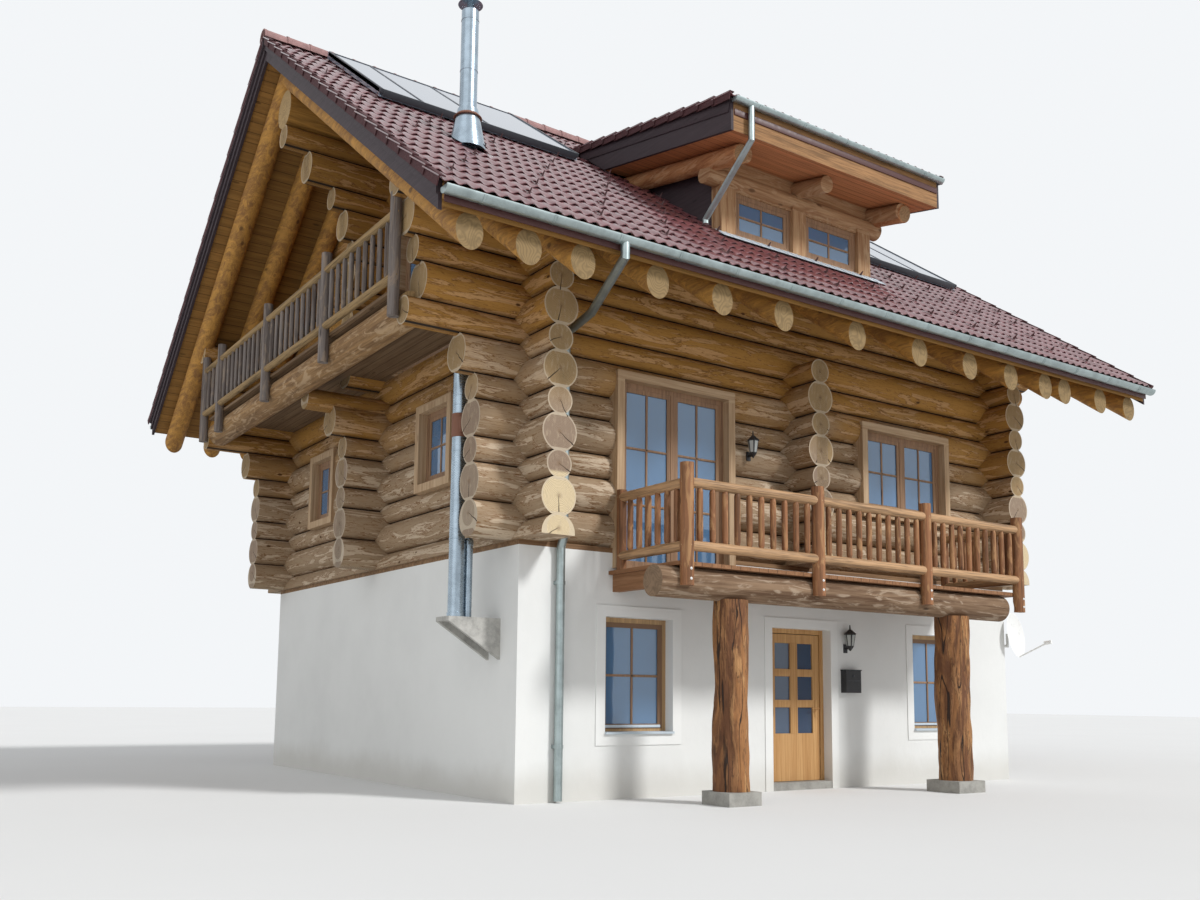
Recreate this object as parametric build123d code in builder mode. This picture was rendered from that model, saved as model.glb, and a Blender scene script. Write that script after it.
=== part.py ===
"""Alpine chalet: plastered ground floor, scribed round-log storey, log gables and a tiled roof with a dormer.

Frame: millimetres, +X along the eaves to the right, +Y to the back, +Z up.
The origin is the centre of the footprint at the lowest ground.
"""

from build123d import *
import os
from math import cos, radians, sin, tan

# Plastered base
house_length = 8700
house_depth = 8100
base_top = 2880
wall_thickness = 360
slab_top = 100
floor_level = 2700
floor_thickness = 240
band_width = 130
band_thickness = 12
sill_plank_height = 60
sill_plank_width = 340

# Openings of the ground floor, from the left corner and the ground
ground_window_width = 1000
ground_window_height = 1375
ground_window_sill = 750
left_window_place = 1190
right_window_place = 6560
side_ground_places = (1600, 5500)
metal_sill_thickness = 25
metal_sill_reach = 45
door_place = 3830
door_width = 1070
door_head = 2110
reveal_depth = 140

# Entrance door
frame_face = 62
frame_depth = 80
door_gap = 9
leaf_foot_gap = 6
leaf_thickness = 68
leaf_stile = 120
leaf_bottom_rail = 620
leaf_bar = 34
glass_thickness = 24
hinge_radius = 9
hinge_half = 55
hinge_play = 0.3
hinge_leaf = 45
hinge_plate = 5
hinge_places = (220, 900, 1600)
handle_plate_width = 45
handle_plate_height = 230
handle_plate_thickness = 8
handle_height = 950
handle_radius = 10
handle_reach = 60
handle_length = 130

# Logs
course_pitch = 361
large_radius = 225
small_radius = 162
log_axis_inset = 170
log_fit = 0.4
front_first_axis = 3145
front_course_start = 3560
side_half_log_axis = 2960
side_course_start = 3369
first_log_radius = 215
plate_course = 10
log_end = 560
right_log_end = 450
bearer_course = 6
corbel_reach = {5: 760, 6: 1425, 7: 1250, 8: 1330, 9: 1425, 10: 1560}
right_corbel_reach = {8: 700, 9: 900, 10: 1000}
cross_wall_place = 4330
cross_top_course = 7
stub_inside = 180
middle_bearer_axis = 5265
middle_bearer_radius = 150
middle_reach = {5: 760, 6: 1130, 13: 690, 14: 870, 15: 1250, 16: 1600}
right_middle_reach = {14: 600, 15: 800, 16: 1000}
middle_top_course = 16
first_gable_course = 8
gable_top_course = 17
gable_window_courses = range(9, 13)

# Openings of the log storey
french_door_place = 1390
french_door_width = 1650
french_door_height = 2310
upper_window_place = 5630
upper_window_width = 1660
upper_window_sill = 3850
upper_window_height = 1150
side_window_width = 810
side_window_height = 960
side_window_sill = 3930
side_window_places = (1740, 5750)
gable_door_place = 1700
gable_door_width = 1700
gable_door_height = 2060
casing_width = 105
casing_reach = 87
casing_inside = 10
gable_window_width = 1300
gable_window_height = 1200
gable_window_sill = 750
rear_window_places = (2200, 6200)
rear_window_width = 1000
log_window_setback = 120
window_frame_face = 60
window_frame_depth = 70
sash_face = 55
sash_depth = 56
pane_thickness = 24
mullion_face = 60
sash_setback = 7

# Roof
roof_pitch = 37.0
left_overhang = 1900
right_overhang = 1400
eave_reach = 1640
tile_reach = 1770
eave_tile_top = 5950
eave_tile_place = 1840
tile_layer = 60
deck_layer = 205
rafter_radius = 150
rafter_tail = 1580
rafter_places = (-1530, -865, -215, 750, 1660, 2600, 3830, 4980, 5990, 6870, 7660, 8120, 9010, 9760)
ridge_radius = 265
ridge_seat = 20
ridge_reach = 1600
right_ridge_reach = 1150
bargeboard_thickness = 40
bargeboard_height = 300
bargeboard_step = 25
front_verge_steps = 2
rear_verge_steps = 3
verge_reach = 60
fascia_thickness = 40
fascia_height = 150
fascia_gap = 5
trimmer_depth = 180
attic_level = 5640
attic_thickness = 200
ridge_tile_radius = 125
ridge_tile_wall = 18
ridge_tile_drop = 55

# Gutters and pipes
gutter_radius = 75
gutter_wall = 5
gutter_drop = 8
pipe_radius = 50
outlet_place = 190
outlet_drop = 130
pipe_place = 520
pipe_turn_out = 640
pipe_turn_top = 5500
pipe_off_logs = 120
pipe_turn_low = 5400
pipe_jog_top = 3000
pipe_off_plaster = 65
pipe_jog_low = 2880
pipe_foot = 20
pipe_clamp = 6
pipe_clamp_height = 40
pipe_clamp_heights = (600, 2450)

# Dormer
dormer_left = 2900
dormer_right = 5720
dormer_post = 250
dormer_depth = 200
dormer_face = -120
dormer_pitch = 11.9
dormer_eave = -950
dormer_soffit = 8130
dormer_tile_top = 8610
dormer_verge_left = 2350
dormer_verge_right = 6240
dormer_sill_top = 7260
dormer_head = 7870
dormer_lintel_axis = 8020
dormer_lintel_left = 2690
dormer_lintel_right = 5950
dormer_lintel_radius = 125
dormer_beam_radius = 112
dormer_beam_reach = 530
dormer_beam_places = (2850, 4310, 5790)
dormer_window_setback = 60
dormer_tile_reach = 50
dormer_gutter_radius = 60
dormer_pipe_radius = 40
dormer_pipe_place = 2630
dormer_cheek = 120
dormer_trimmer_left = 2600
dormer_trimmer_right = 5990
dormer_shoe = 60
dormer_head_inset = 30
lintel_board_half = 50
contact_gap = 0.3

# Solar collectors as left, right, front and back edge
collector_thickness = 90
collector_fields = ((-1100, 1900, 1850, 3800), (6500, 9300, 1200, 3100))

# Flue
flue_step_over_deck = 60
flue_clamp_course = 3
flue_radius = 105
flue_place_x = -500
flue_place_y = 545
flue_bottom = 2060
flue_top = 9400
flue_clearance = 20
flue_lower_radius = 90
flue_cap_radius = 150
flue_cap_height = 60
flue_cap_gap = 90
flue_cone_radius = 230
flue_cone_height = 260
bracket_level = 2000
bracket_width = 320
bracket_thickness = 50
bracket_brace = 420

# Front balcony
balcony_left = 1230
balcony_right = 7230
balcony_reach = 1350
deck_level = 2660
deck_board = 45
balcony_beam_radius = 175
balcony_beam_axis = 2440
balcony_beam_left = 1000
balcony_beam_right = 6980
support_places = (2110, 5960)
support_radii = (190, 215)
plinth_height = 150
plinth_margin = 45
balcony_beam_place = 1175
joist_places = (1340, 2450, 3560, 4670, 5780, 6880)
joist_width = 100
joist_height = 200
rail_post_place = 1380
rail_post_places = (1310, 3310, 5240, 7150)
rail_post_tops = (3745, 3700, 3700, 3700)
wall_post_place = 147.5
wall_post_radius = 60
wall_post_top = 3620
post_foot = 2390
return_spacing = 180
baluster_point = 90
rail_post_radius = 78
rail_radius = 58
top_rail_level = 3530
bottom_rail_level = 2830
baluster_radius = 36
baluster_spacing = 175

# Gable balcony
gable_beam_x = -1250
gable_beam_axis = 5450
gable_beam_radius = 190
gable_beam_inset = 250
gable_post_places = (260, 2380, 4670, 6960, 7840)
gable_post_foot = 5300
gable_post_top = 6720
gable_deck_left = -1450
gable_deck_right = -100
gable_deck_start = 400
gable_deck_thickness = 40
gable_post_radius = 66
gable_rail_x = -1500
gable_top_rail = 6490
gable_bottom_rail = 5760
gable_rail_radius = 48
gable_baluster_radius = 30
gable_baluster_spacing = 205

# Lanterns, from the top of their finial down, and the letterbox
lantern_places = (5190, 3394)
lantern_feet = (1835, 4281)
lantern_height = 356
lantern_axis_off_wall = 95
lantern_cage_foot = 60
lantern_cage_top = 230
lantern_roof_top = 292
lantern_cage_radii = (50, 78)
lantern_roof_radii = (90, 22)
lantern_finial_radius = 12
lantern_sides = 6
lantern_plate_width = 70
lantern_plate_height = 120
lantern_plate_thickness = 10
lantern_arm = 24
letterbox_place = 5098
letterbox_width = 288
letterbox_foot = 1270
letterbox_height = 300
letterbox_depth = 100
letterbox_lid = 14
letterbox_lid_reach = 8

# Satellite dish at the front corner of the right wall
dish_radius = 350
dish_depth = 68
dish_sheet = 4
dish_off_wall = 260
dish_place = 50
dish_level = 2195
dish_bearing = -75
dish_tilt = 8
dish_neck = 75
dish_neck_radius = 32
dish_mast_radius = 21
dish_mast_drop = 150
dish_mast_rise = 45
dish_plate = 160
dish_plate_thickness = 10
feed_distance = 560
feed_drop = 195
feed_arm_radius = 11
feed_radius = 30
feed_length = 110

# Derived places
left = -house_length / 2
right = house_length / 2
front = -house_depth / 2
back = house_depth / 2
slope = tan(radians(roof_pitch))
spare_length = 3000
roof_top = 14000
tile_vertical = tile_layer / cos(radians(roof_pitch))
deck_vertical = deck_layer / cos(radians(roof_pitch))
rafter_vertical = rafter_radius / cos(radians(roof_pitch))
ridge_top = eave_tile_top + (house_depth / 2 + eave_tile_place) * slope
ridge_purlin_axis = (
    ridge_top - tile_vertical - deck_vertical - 2 * rafter_vertical
    - (ridge_radius - ridge_seat) / cos(radians(roof_pitch))
)


def tile_surface(y):
    """Height of the finished roof above a point y, measured from the middle of the house."""
    return ridge_top - abs(y) * slope


def deck_underside(y):
    """Height of the underside of the roof boards."""
    return tile_surface(y) - tile_vertical - deck_vertical


def front_axis(course):
    """Height of a front or rear wall log's axis."""
    return front_first_axis if course == 0 else front_course_start + course_pitch * (course - 1)


def side_axis(course):
    """Height of a gable wall log's axis."""
    return side_half_log_axis if course == 0 else side_course_start + course_pitch * (course - 1)


def log_radius(course):
    """Large and small logs lie turn about; the first is a large one."""
    if course == 0:
        return first_log_radius
    return large_radius if course % 2 else small_radius


def log_along_x(x0, x1, y, z, radius, flat=None):
    """One straight log along X, with a flat underside where it lies on the sill plank."""
    with BuildPart() as log:
        with BuildSketch(Plane.YZ.offset(x0)):
            with Locations((y, z)):
                Circle(radius)
            if flat is not None:
                with Locations((y, flat - radius)):
                    Rectangle(4 * radius, 2 * radius, mode=Mode.SUBTRACT)
        extrude(amount=x1 - x0)
    return log.part


def log_along_y(y0, y1, x, z, radius, flat=None):
    """One straight log along Y."""
    with BuildPart() as log:
        with BuildSketch(Plane.XZ.offset(-y1)):
            with Locations((x, z)):
                Circle(radius)
            if flat is not None:
                with Locations((x, flat - radius)):
                    Rectangle(4 * radius, 2 * radius, mode=Mode.SUBTRACT)
        extrude(amount=y1 - y0)
    return log.part


def log_upright(x, y, z0, z1, radius):
    """A round post."""
    with BuildPart() as post:
        with BuildSketch(Plane.XY.offset(z0)):
            with Locations((x, y)):
                Circle(radius)
        extrude(amount=z1 - z0)
    return post.part


def block(x0, x1, y0, y1, z0, z1):
    """A squared piece between two corners."""
    with BuildPart() as piece:
        with Locations(((x0 + x1) / 2, (y0 + y1) / 2, (z0 + z1) / 2)):
            Box(x1 - x0, y1 - y0, z1 - z0)
    return piece.part


def scribe(log, cutters):
    """Cut a log over the logs and through the openings that it meets."""
    with BuildPart() as piece:
        add(log)
        add(cutters, mode=Mode.SUBTRACT)
    return piece.part


def prism_x(points, x0, x1):
    """A piece with one outline across the house, from x0 to x1."""
    with BuildPart() as piece:
        with BuildSketch(Plane.YZ.offset(x0)):
            with BuildLine():
                Polyline(*points, close=True)
            make_face()
        extrude(amount=x1 - x0)
    return piece.part


# Everything above the underside of the roof boards
roof_space = prism_x(
    [
        (front - spare_length, deck_underside(front - spare_length)), (0, deck_underside(0)),
        (back + spare_length, deck_underside(back + spare_length)),
        (back + spare_length, roof_top), (front - spare_length, roof_top),
    ],
    left - spare_length, right + spare_length,
)


def rafter_axis(y):
    return deck_underside(y) - rafter_vertical


def rafter(place, side, extra=0.0, start=0.0, end=None):
    """A round rafter between two distances from the ridge line; side is -1 at the front, 1 at the back."""
    x = left + place
    stop = house_depth / 2 + rafter_tail if end is None else end
    pitch = radians(roof_pitch)
    down = (0, side * cos(pitch), -sin(pitch))
    overrun = 2 * rafter_radius
    first = start - overrun
    origin = (x, side * first, rafter_axis(0) - first * slope)
    with BuildPart() as pole:
        with BuildSketch(Plane(origin=origin, x_dir=(1, 0, 0), z_dir=down)):
            Circle(rafter_radius + extra)
        extrude(amount=(stop - start + 2 * overrun) / cos(pitch))
        for edge, outward in ((start, -1), (stop, 1)):
            middle_y = side * (edge + outward * 2 * overrun)
            with Locations((x, middle_y, rafter_axis(edge))):
                Box(4 * overrun, 4 * overrun, 8 * overrun, mode=Mode.SUBTRACT)
    return pole.part


os.makedirs("parts", exist_ok=True)

left_x = left + log_axis_inset
right_x = right - log_axis_inset
front_y = front + log_axis_inset
back_y = back - log_axis_inset
sill_top = base_top + sill_plank_height
inner_left = left + wall_thickness
inner_right = right - wall_thickness
inner_front = front + wall_thickness
inner_back = back - wall_thickness
door_left = left + door_place
door_right = door_left + door_width
french_left = left + french_door_place
french_right = french_left + french_door_width
logs_inside = log_axis_inset + large_radius
logs_outside = large_radius - log_axis_inset

# The opening planes: origin at the middle of the opening's foot, local y up, z out of the house
front_openings_ground = [
    (left + left_window_place + ground_window_width / 2, ground_window_sill),
    (left + right_window_place + ground_window_width / 2, ground_window_sill),
]


def front_plane(x, y, z):
    """A plane on the front of the house."""
    return Plane(origin=(x, y, z), x_dir=(1, 0, 0), z_dir=(0, -1, 0))


def rear_plane(x, y, z):
    """A plane on the back of the house."""
    return Plane(origin=(x, y, z), x_dir=(-1, 0, 0), z_dir=(0, 1, 0))


def left_plane(x, y, z):
    """A plane on the left gable."""
    return Plane(origin=(x, y, z), x_dir=(0, -1, 0), z_dir=(-1, 0, 0))


def right_plane(x, y, z):
    """A plane on the right gable."""
    return Plane(origin=(x, y, z), x_dir=(0, 1, 0), z_dir=(1, 0, 0))


def surround(plane, width, height, face, depth, closed=True):
    """The planks of a band round an opening; closed at the foot for a window, open for a door."""
    foot = face if closed else 0
    fields = [
        (-width / 2 - face, -width / 2, -foot, height + face),
        (width / 2, width / 2 + face, -foot, height + face),
        (-width / 2, width / 2, height, height + face),
    ]
    if closed:
        fields.append((-width / 2, width / 2, -face, 0))
    planks = []
    for x0, x1, y0, y1 in fields:
        with BuildPart() as plank:
            with BuildSketch(plane):
                with Locations(((x0 + x1) / 2, (y0 + y1) / 2)):
                    Rectangle(x1 - x0, y1 - y0)
            extrude(amount=depth)
        planks.append(plank.part)
    return planks


def as_group(label, pieces):
    """Several solids that touch face to face and stay separate pieces."""
    return Compound(label=label, children=[solid for piece in pieces for solid in piece.solids()])


def hole(plane, width, height, face, before, behind, closed=True):
    """The room that a band and its opening take out of a wall."""
    foot = face if closed else 0
    with BuildPart() as room:
        with BuildSketch(plane.offset(before)):
            with Locations((0, -foot)):
                Rectangle(width + 2 * face, height + face + foot, align=(Align.CENTER, Align.MIN))
        extrude(amount=-(before + behind))
    return room.part


def light_places(width, height, lights):
    """Size and centres of the lights of a frame."""
    light_width = (width - 2 * window_frame_face - (lights - 1) * mullion_face) / lights
    light_height = height - 2 * window_frame_face
    step = light_width + mullion_face
    centres = [((index - (lights - 1) / 2) * step, height / 2) for index in range(lights)]
    return light_width, light_height, centres


def window_frame(plane, width, height, lights):
    """A frame with one sash in each light."""
    light_width, light_height, centres = light_places(width, height, lights)
    with BuildPart() as frame:
        with BuildSketch(plane):
            Rectangle(width, height, align=(Align.CENTER, Align.MIN))
            with Locations(*centres):
                Rectangle(light_width, light_height, mode=Mode.SUBTRACT)
        extrude(amount=-window_frame_depth)
        with BuildSketch(plane.offset(-sash_setback)):
            with Locations(*centres):
                Rectangle(light_width, light_height)
                Rectangle(light_width - 2 * sash_face, light_height - 2 * sash_face, mode=Mode.SUBTRACT)
        extrude(amount=-sash_depth)
    return frame.part


def window_panes(plane, width, height, lights):
    """The glass of a frame."""
    light_width, light_height, centres = light_places(width, height, lights)
    with BuildPart() as panes:
        with BuildSketch(plane.offset(-sash_setback - (sash_depth - pane_thickness) / 2)):
            with Locations(*centres):
                Rectangle(light_width - 2 * sash_face, light_height - 2 * sash_face)
        extrude(amount=-pane_thickness)
    return panes.part


# Openings as plane, width, height, lights, and whether the foot is closed
front_storey_openings = [
    (front_plane((french_left + french_right) / 2, front - casing_reach, floor_level),
     french_door_width, french_door_height, 2, False),
    (front_plane(left + upper_window_place + upper_window_width / 2, front - casing_reach, upper_window_sill),
     upper_window_width, upper_window_height, 2, True),
]
rear_storey_openings = [
    (rear_plane(left + place, back + casing_reach, upper_window_sill),
     rear_window_width, upper_window_height, 2, True)
    for place in rear_window_places
]
left_storey_openings = [
    (left_plane(left - casing_reach, front + place + side_window_width / 2, side_window_sill),
     side_window_width, side_window_height, 1, True)
    for place in side_window_places
]
right_storey_openings = [
    (right_plane(right + casing_reach, front + place + side_window_width / 2, side_window_sill),
     side_window_width, side_window_height, 1, True)
    for place in side_window_places
]
gable_door_opening = (
    left_plane(left - casing_reach, front + gable_door_place + gable_door_width / 2, attic_level),
    gable_door_width, gable_door_height, 2, False,
)
gable_window_opening = (
    right_plane(right + casing_reach, front + house_depth / 2, attic_level + gable_window_sill),
    gable_window_width, gable_window_height, 2, True,
)


def log_hole(opening):
    """The cut through the logs for one opening with its casing."""
    plane, width, height, lights, closed = opening
    return hole(plane, width, height, casing_width, 600, casing_reach + logs_inside + 200, closed)


# Plastered base
with BuildPart() as ground_slab:
    with Locations((0, 0, slab_top / 2)):
        Box(inner_right - inner_left, inner_back - inner_front, slab_top)
ground_slab.part.label = "ground_slab"
export_step(ground_slab.part, "parts/ground_slab.step")

with BuildPart() as front_wall_left:
    with BuildSketch(Plane.XZ.offset(-front)):
        with Locations((left, 0)):
            Rectangle(door_left - left, base_top, align=(Align.MIN, Align.MIN))
        with Locations((left + left_window_place, ground_window_sill)):
            Rectangle(ground_window_width, ground_window_height, align=(Align.MIN, Align.MIN),
                      mode=Mode.SUBTRACT)
        with Locations((french_left - casing_width, floor_level)):
            Rectangle(french_door_width + 2 * casing_width, base_top, align=(Align.MIN, Align.MIN),
                      mode=Mode.SUBTRACT)
    extrude(amount=-wall_thickness)
front_wall_left.part.label = "front_wall_left"
export_step(front_wall_left.part, "parts/front_wall_left.step")

with BuildPart() as front_wall_right:
    with BuildSketch(Plane.XZ.offset(-front)):
        with Locations((door_right, 0)):
            Rectangle(right - door_right, base_top, align=(Align.MIN, Align.MIN))
        with Locations((left + right_window_place, ground_window_sill)):
            Rectangle(ground_window_width, ground_window_height, align=(Align.MIN, Align.MIN),
                      mode=Mode.SUBTRACT)
    extrude(amount=-wall_thickness)
front_wall_right.part.label = "front_wall_right"
export_step(front_wall_right.part, "parts/front_wall_right.step")

with BuildPart() as front_wall_head:
    add(block(door_left, door_right, front, inner_front, door_head, base_top))
front_wall_head.part.label = "front_wall_head"
export_step(front_wall_head.part, "parts/front_wall_head.step")

with BuildPart() as door_threshold:
    add(block(door_left, door_right, front, inner_front, 0, slab_top))
door_threshold.part.label = "door_threshold"
export_step(door_threshold.part, "parts/door_threshold.step")

with BuildPart() as left_wall:
    add(block(left, inner_left, inner_front, back, 0, base_top))
left_wall.part.label = "left_wall"
export_step(left_wall.part, "parts/left_wall.step")

with BuildPart() as rear_wall:
    add(block(inner_left, right, inner_back, back, 0, base_top))
rear_wall.part.label = "rear_wall"
export_step(rear_wall.part, "parts/rear_wall.step")

with BuildPart() as right_wall:
    with BuildSketch(Plane.YZ.offset(inner_right)):
        with Locations((inner_front, 0)):
            Rectangle(inner_back - inner_front, base_top, align=(Align.MIN, Align.MIN))
        with Locations(*((front + place, ground_window_sill) for place in side_ground_places)):
            Rectangle(ground_window_width, ground_window_height, align=(Align.MIN, Align.MIN),
                      mode=Mode.SUBTRACT)
    extrude(amount=wall_thickness)
right_wall.part.label = "right_wall"
export_step(right_wall.part, "parts/right_wall.step")

with BuildPart() as storey_floor:
    add(block(inner_left, inner_right, inner_front, inner_back, floor_level - floor_thickness, floor_level))
storey_floor.part.label = "storey_floor"
export_step(storey_floor.part, "parts/storey_floor.step")

# Raised plaster bands round the front openings
band_planks = surround(front_plane((door_left + door_right) / 2, front, 0), door_width, door_head, band_width,
                       band_thickness, False)
for x, z in front_openings_ground:
    band_planks += surround(front_plane(x, front, z), ground_window_width, ground_window_height, band_width,
                            band_thickness)
plaster_surrounds = as_group("plaster_surrounds", band_planks)
export_step(plaster_surrounds, "parts/plaster_surrounds.step")

# Ground floor windows, set back in their reveals, with a metal sill in front
ground_windows_planes = [front_plane(x, front + reveal_depth, z) for x, z in front_openings_ground]
ground_windows_planes += [
    right_plane(right - reveal_depth, front + place + ground_window_width / 2, ground_window_sill)
    for place in side_ground_places
]
with BuildPart() as ground_windows:
    for plane in ground_windows_planes:
        add(window_frame(plane, ground_window_width, ground_window_height, 1))
        with BuildSketch(plane):
            Rectangle(ground_window_width, metal_sill_thickness, align=(Align.CENTER, Align.MIN))
        extrude(amount=reveal_depth + metal_sill_reach)
ground_windows.part.label = "ground_windows"
export_step(ground_windows.part, "parts/ground_windows.step")

# Entrance door, opening inwards
frame_back = front + reveal_depth + frame_depth
leaf_left = door_left + frame_face + door_gap
leaf_right = door_right - frame_face - door_gap
leaf_bottom = slab_top + leaf_foot_gap
leaf_top = door_head - frame_face - door_gap
leaf_front = frame_back - leaf_thickness
hinge_x = door_left + frame_face + door_gap / 2
hinge_y = frame_back + hinge_radius
pane_columns = 2
pane_rows = 3
pane_zone_width = leaf_right - leaf_left - 2 * leaf_stile
pane_zone_height = leaf_top - leaf_bottom - leaf_stile - leaf_bottom_rail
pane_width = (pane_zone_width - (pane_columns - 1) * leaf_bar) / pane_columns
pane_height = (pane_zone_height - (pane_rows - 1) * leaf_bar) / pane_rows
pane_places = [
    (leaf_left + leaf_stile + pane_width / 2 + column * (pane_width + leaf_bar),
     leaf_bottom + leaf_bottom_rail + pane_height / 2 + row * (pane_height + leaf_bar))
    for column in range(pane_columns) for row in range(pane_rows)
]
hinge_heights = [leaf_bottom + place for place in hinge_places]

with BuildPart() as frame_hinges:
    for height in hinge_heights:
        add(block(door_left + frame_face - hinge_leaf, hinge_x, frame_back, frame_back + hinge_plate,
                  height, height + hinge_half))
        with Locations((hinge_x, hinge_y, height + hinge_half / 2)):
            Cylinder(hinge_radius, hinge_half)
entrance_door_frame = as_group(
    "entrance_door_frame",
    surround(front_plane((door_left + door_right) / 2, front + reveal_depth, slab_top),
             door_width - 2 * frame_face, door_head - slab_top - frame_face, frame_face, -frame_depth, False)
    + [frame_hinges.part],
)
export_step(entrance_door_frame, "parts/entrance_door_frame.step")

with BuildPart() as entrance_door:
    with BuildSketch(Plane.XZ.offset(-leaf_front)):
        with Locations((leaf_left, leaf_bottom)):
            Rectangle(leaf_right - leaf_left, leaf_top - leaf_bottom, align=(Align.MIN, Align.MIN))
        with Locations(*pane_places):
            Rectangle(pane_width, pane_height, mode=Mode.SUBTRACT)
    extrude(amount=-leaf_thickness)
    for height in hinge_heights:
        low = height + hinge_half + hinge_play
        add(block(hinge_x, leaf_left + hinge_leaf, frame_back, frame_back + hinge_plate,
                  low, low + hinge_half))
        with Locations((hinge_x, hinge_y, low + hinge_half / 2)):
            Cylinder(hinge_radius, hinge_half)
    # Handle with its plate
    handle_x = leaf_right - leaf_stile / 2
    add(block(handle_x - handle_plate_width / 2, handle_x + handle_plate_width / 2,
              leaf_front - handle_plate_thickness, leaf_front,
              leaf_bottom + handle_height - handle_plate_height / 2,
              leaf_bottom + handle_height + handle_plate_height / 2))
    with BuildSketch(Plane.XZ.offset(-leaf_front)):
        with Locations((handle_x, leaf_bottom + handle_height)):
            Circle(handle_radius)
    extrude(amount=handle_reach)
    with BuildSketch(Plane.YZ.offset(handle_x + handle_radius)):
        with Locations((leaf_front - handle_reach + handle_radius, leaf_bottom + handle_height)):
            Circle(handle_radius)
    extrude(amount=-handle_length)
entrance_door.part.label = "entrance_door"
export_step(entrance_door.part, "parts/entrance_door.step")

with BuildPart() as entrance_door_glass:
    with BuildSketch(Plane.XZ.offset(-leaf_front - (leaf_thickness - glass_thickness) / 2)):
        with Locations(*pane_places):
            Rectangle(pane_width, pane_height)
    extrude(amount=-glass_thickness)
entrance_door_glass.part.label = "entrance_door_glass"
export_step(entrance_door_glass.part, "parts/entrance_door_glass.step")

# Sill planks round the top of the base, open at the balcony door
plank_back = back - sill_plank_width
plank_front = front + sill_plank_width
sill_planks = as_group("sill_planks", [
    block(left, french_left - casing_width, front, plank_front, base_top, sill_top),
    block(french_right + casing_width, right, front, plank_front, base_top, sill_top),
    block(left, right, plank_back, back, base_top, sill_top),
    block(left, left + sill_plank_width, plank_front, plank_back, base_top, sill_top),
    block(right - sill_plank_width, right, plank_front, plank_back, base_top, sill_top),
])
export_step(sill_planks, "parts/sill_planks.step")

# Log walls. Every cutter is a log made larger by the fit, so that the pieces lie close without touching.
x_courses = range(0, plate_course + 1)
y_courses = range(0, gable_top_course + 1)
cross_courses = range(0, cross_top_course + 1)
middle_courses = range(0, middle_top_course + 1)


def x_log(course, y, extra=0.0):
    """A front or rear log of one course, from corbel end to corbel end."""
    x0 = left - corbel_reach.get(course, log_end) - extra
    x1 = right + right_corbel_reach.get(course, right_log_end) + extra
    flat = sill_top if course == 0 else None
    return log_along_x(x0, x1, y, front_axis(course), log_radius(course) + extra, flat)


def y_log(course, x, extra=0.0):
    """A gable wall log of one course."""
    end = (log_end if x < 0 else right_log_end) + extra
    flat = sill_top if course == 0 else None
    return log_along_y(front - end, back + end, x, side_axis(course), log_radius(course) + extra, flat)


def cross_radius(course):
    """The logs of the wall across the house change size the other way round."""
    if course == 0:
        return first_log_radius
    return small_radius if course % 2 else large_radius


def cross_log(course, extra=0.0):
    """The front end of a log of the wall across the house."""
    flat = sill_top if course == 0 else None
    y0 = front - right_log_end - extra
    y1 = inner_front + stub_inside + extra
    return log_along_y(y0, y1, left + cross_wall_place, side_axis(course), cross_radius(course) + extra, flat)


def middle_axis(course):
    """Height of a middle wall log; one of them is the balcony's bearer."""
    return middle_bearer_axis if course == bearer_course else front_axis(course)


def middle_radius(course):
    """Radius of a middle wall log."""
    return middle_bearer_radius if course == bearer_course else log_radius(course)


def middle_log(course, side, extra=0.0):
    """One end of a log of the middle wall; side is -1 at the left gable, 1 at the right."""
    flat = sill_top if course == 0 else None
    if side < 0:
        x0 = left - middle_reach.get(course, log_end) - extra
        x1 = inner_left + stub_inside + extra
    else:
        x0 = inner_right - stub_inside - extra
        x1 = right + right_middle_reach.get(course, right_log_end) + extra
    return log_along_x(x0, x1, 0, middle_axis(course), middle_radius(course) + extra, flat)


ridge_cutter = log_along_x(
    left - spare_length, right + spare_length, 0, ridge_purlin_axis, ridge_radius + log_fit
)
x_cutters = {y: [x_log(course, y, log_fit) for course in x_courses] for y in (front_y, back_y)}
y_cutters = {x: [y_log(course, x, log_fit) for course in y_courses] for x in (left_x, right_x)}
cross_cutters = [cross_log(course, log_fit) for course in cross_courses]
middle_cutters = {side: [middle_log(course, side, log_fit) for course in middle_courses] for side in (-1, 1)}


def crossed(z, radius, courses, axis, size):
    """The lower logs that a log at this height passes over."""
    return [course for course in courses if axis(course) < z and axis(course) + size(course) > z - radius]


rafter_cutters = {
    side: [rafter(place, side, log_fit) for place in rafter_places] for side in (-1, 1)
}


def x_wall(y, openings):
    """The logs of the front or rear wall, scribed over each other."""
    side = -1 if y < 0 else 1
    holes = [log_hole(opening) for opening in openings]
    logs = []
    for course in x_courses:
        z, radius = front_axis(course), log_radius(course)
        passed = crossed(z, radius, y_courses, side_axis, log_radius)
        cutters = [y_cutters[x][lower] for x in (left_x, right_x) for lower in passed]
        if side < 0:
            passed = crossed(z, radius, cross_courses, side_axis, cross_radius)
            cutters += [cross_cutters[lower] for lower in passed]
        if course > 0:
            cutters.append(x_cutters[y][course - 1])
        if course == plate_course:
            cutters += rafter_cutters[side]
        logs.append(scribe(x_log(course, y), cutters + (holes if course < plate_course - 2 else [])))
    return logs


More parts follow.
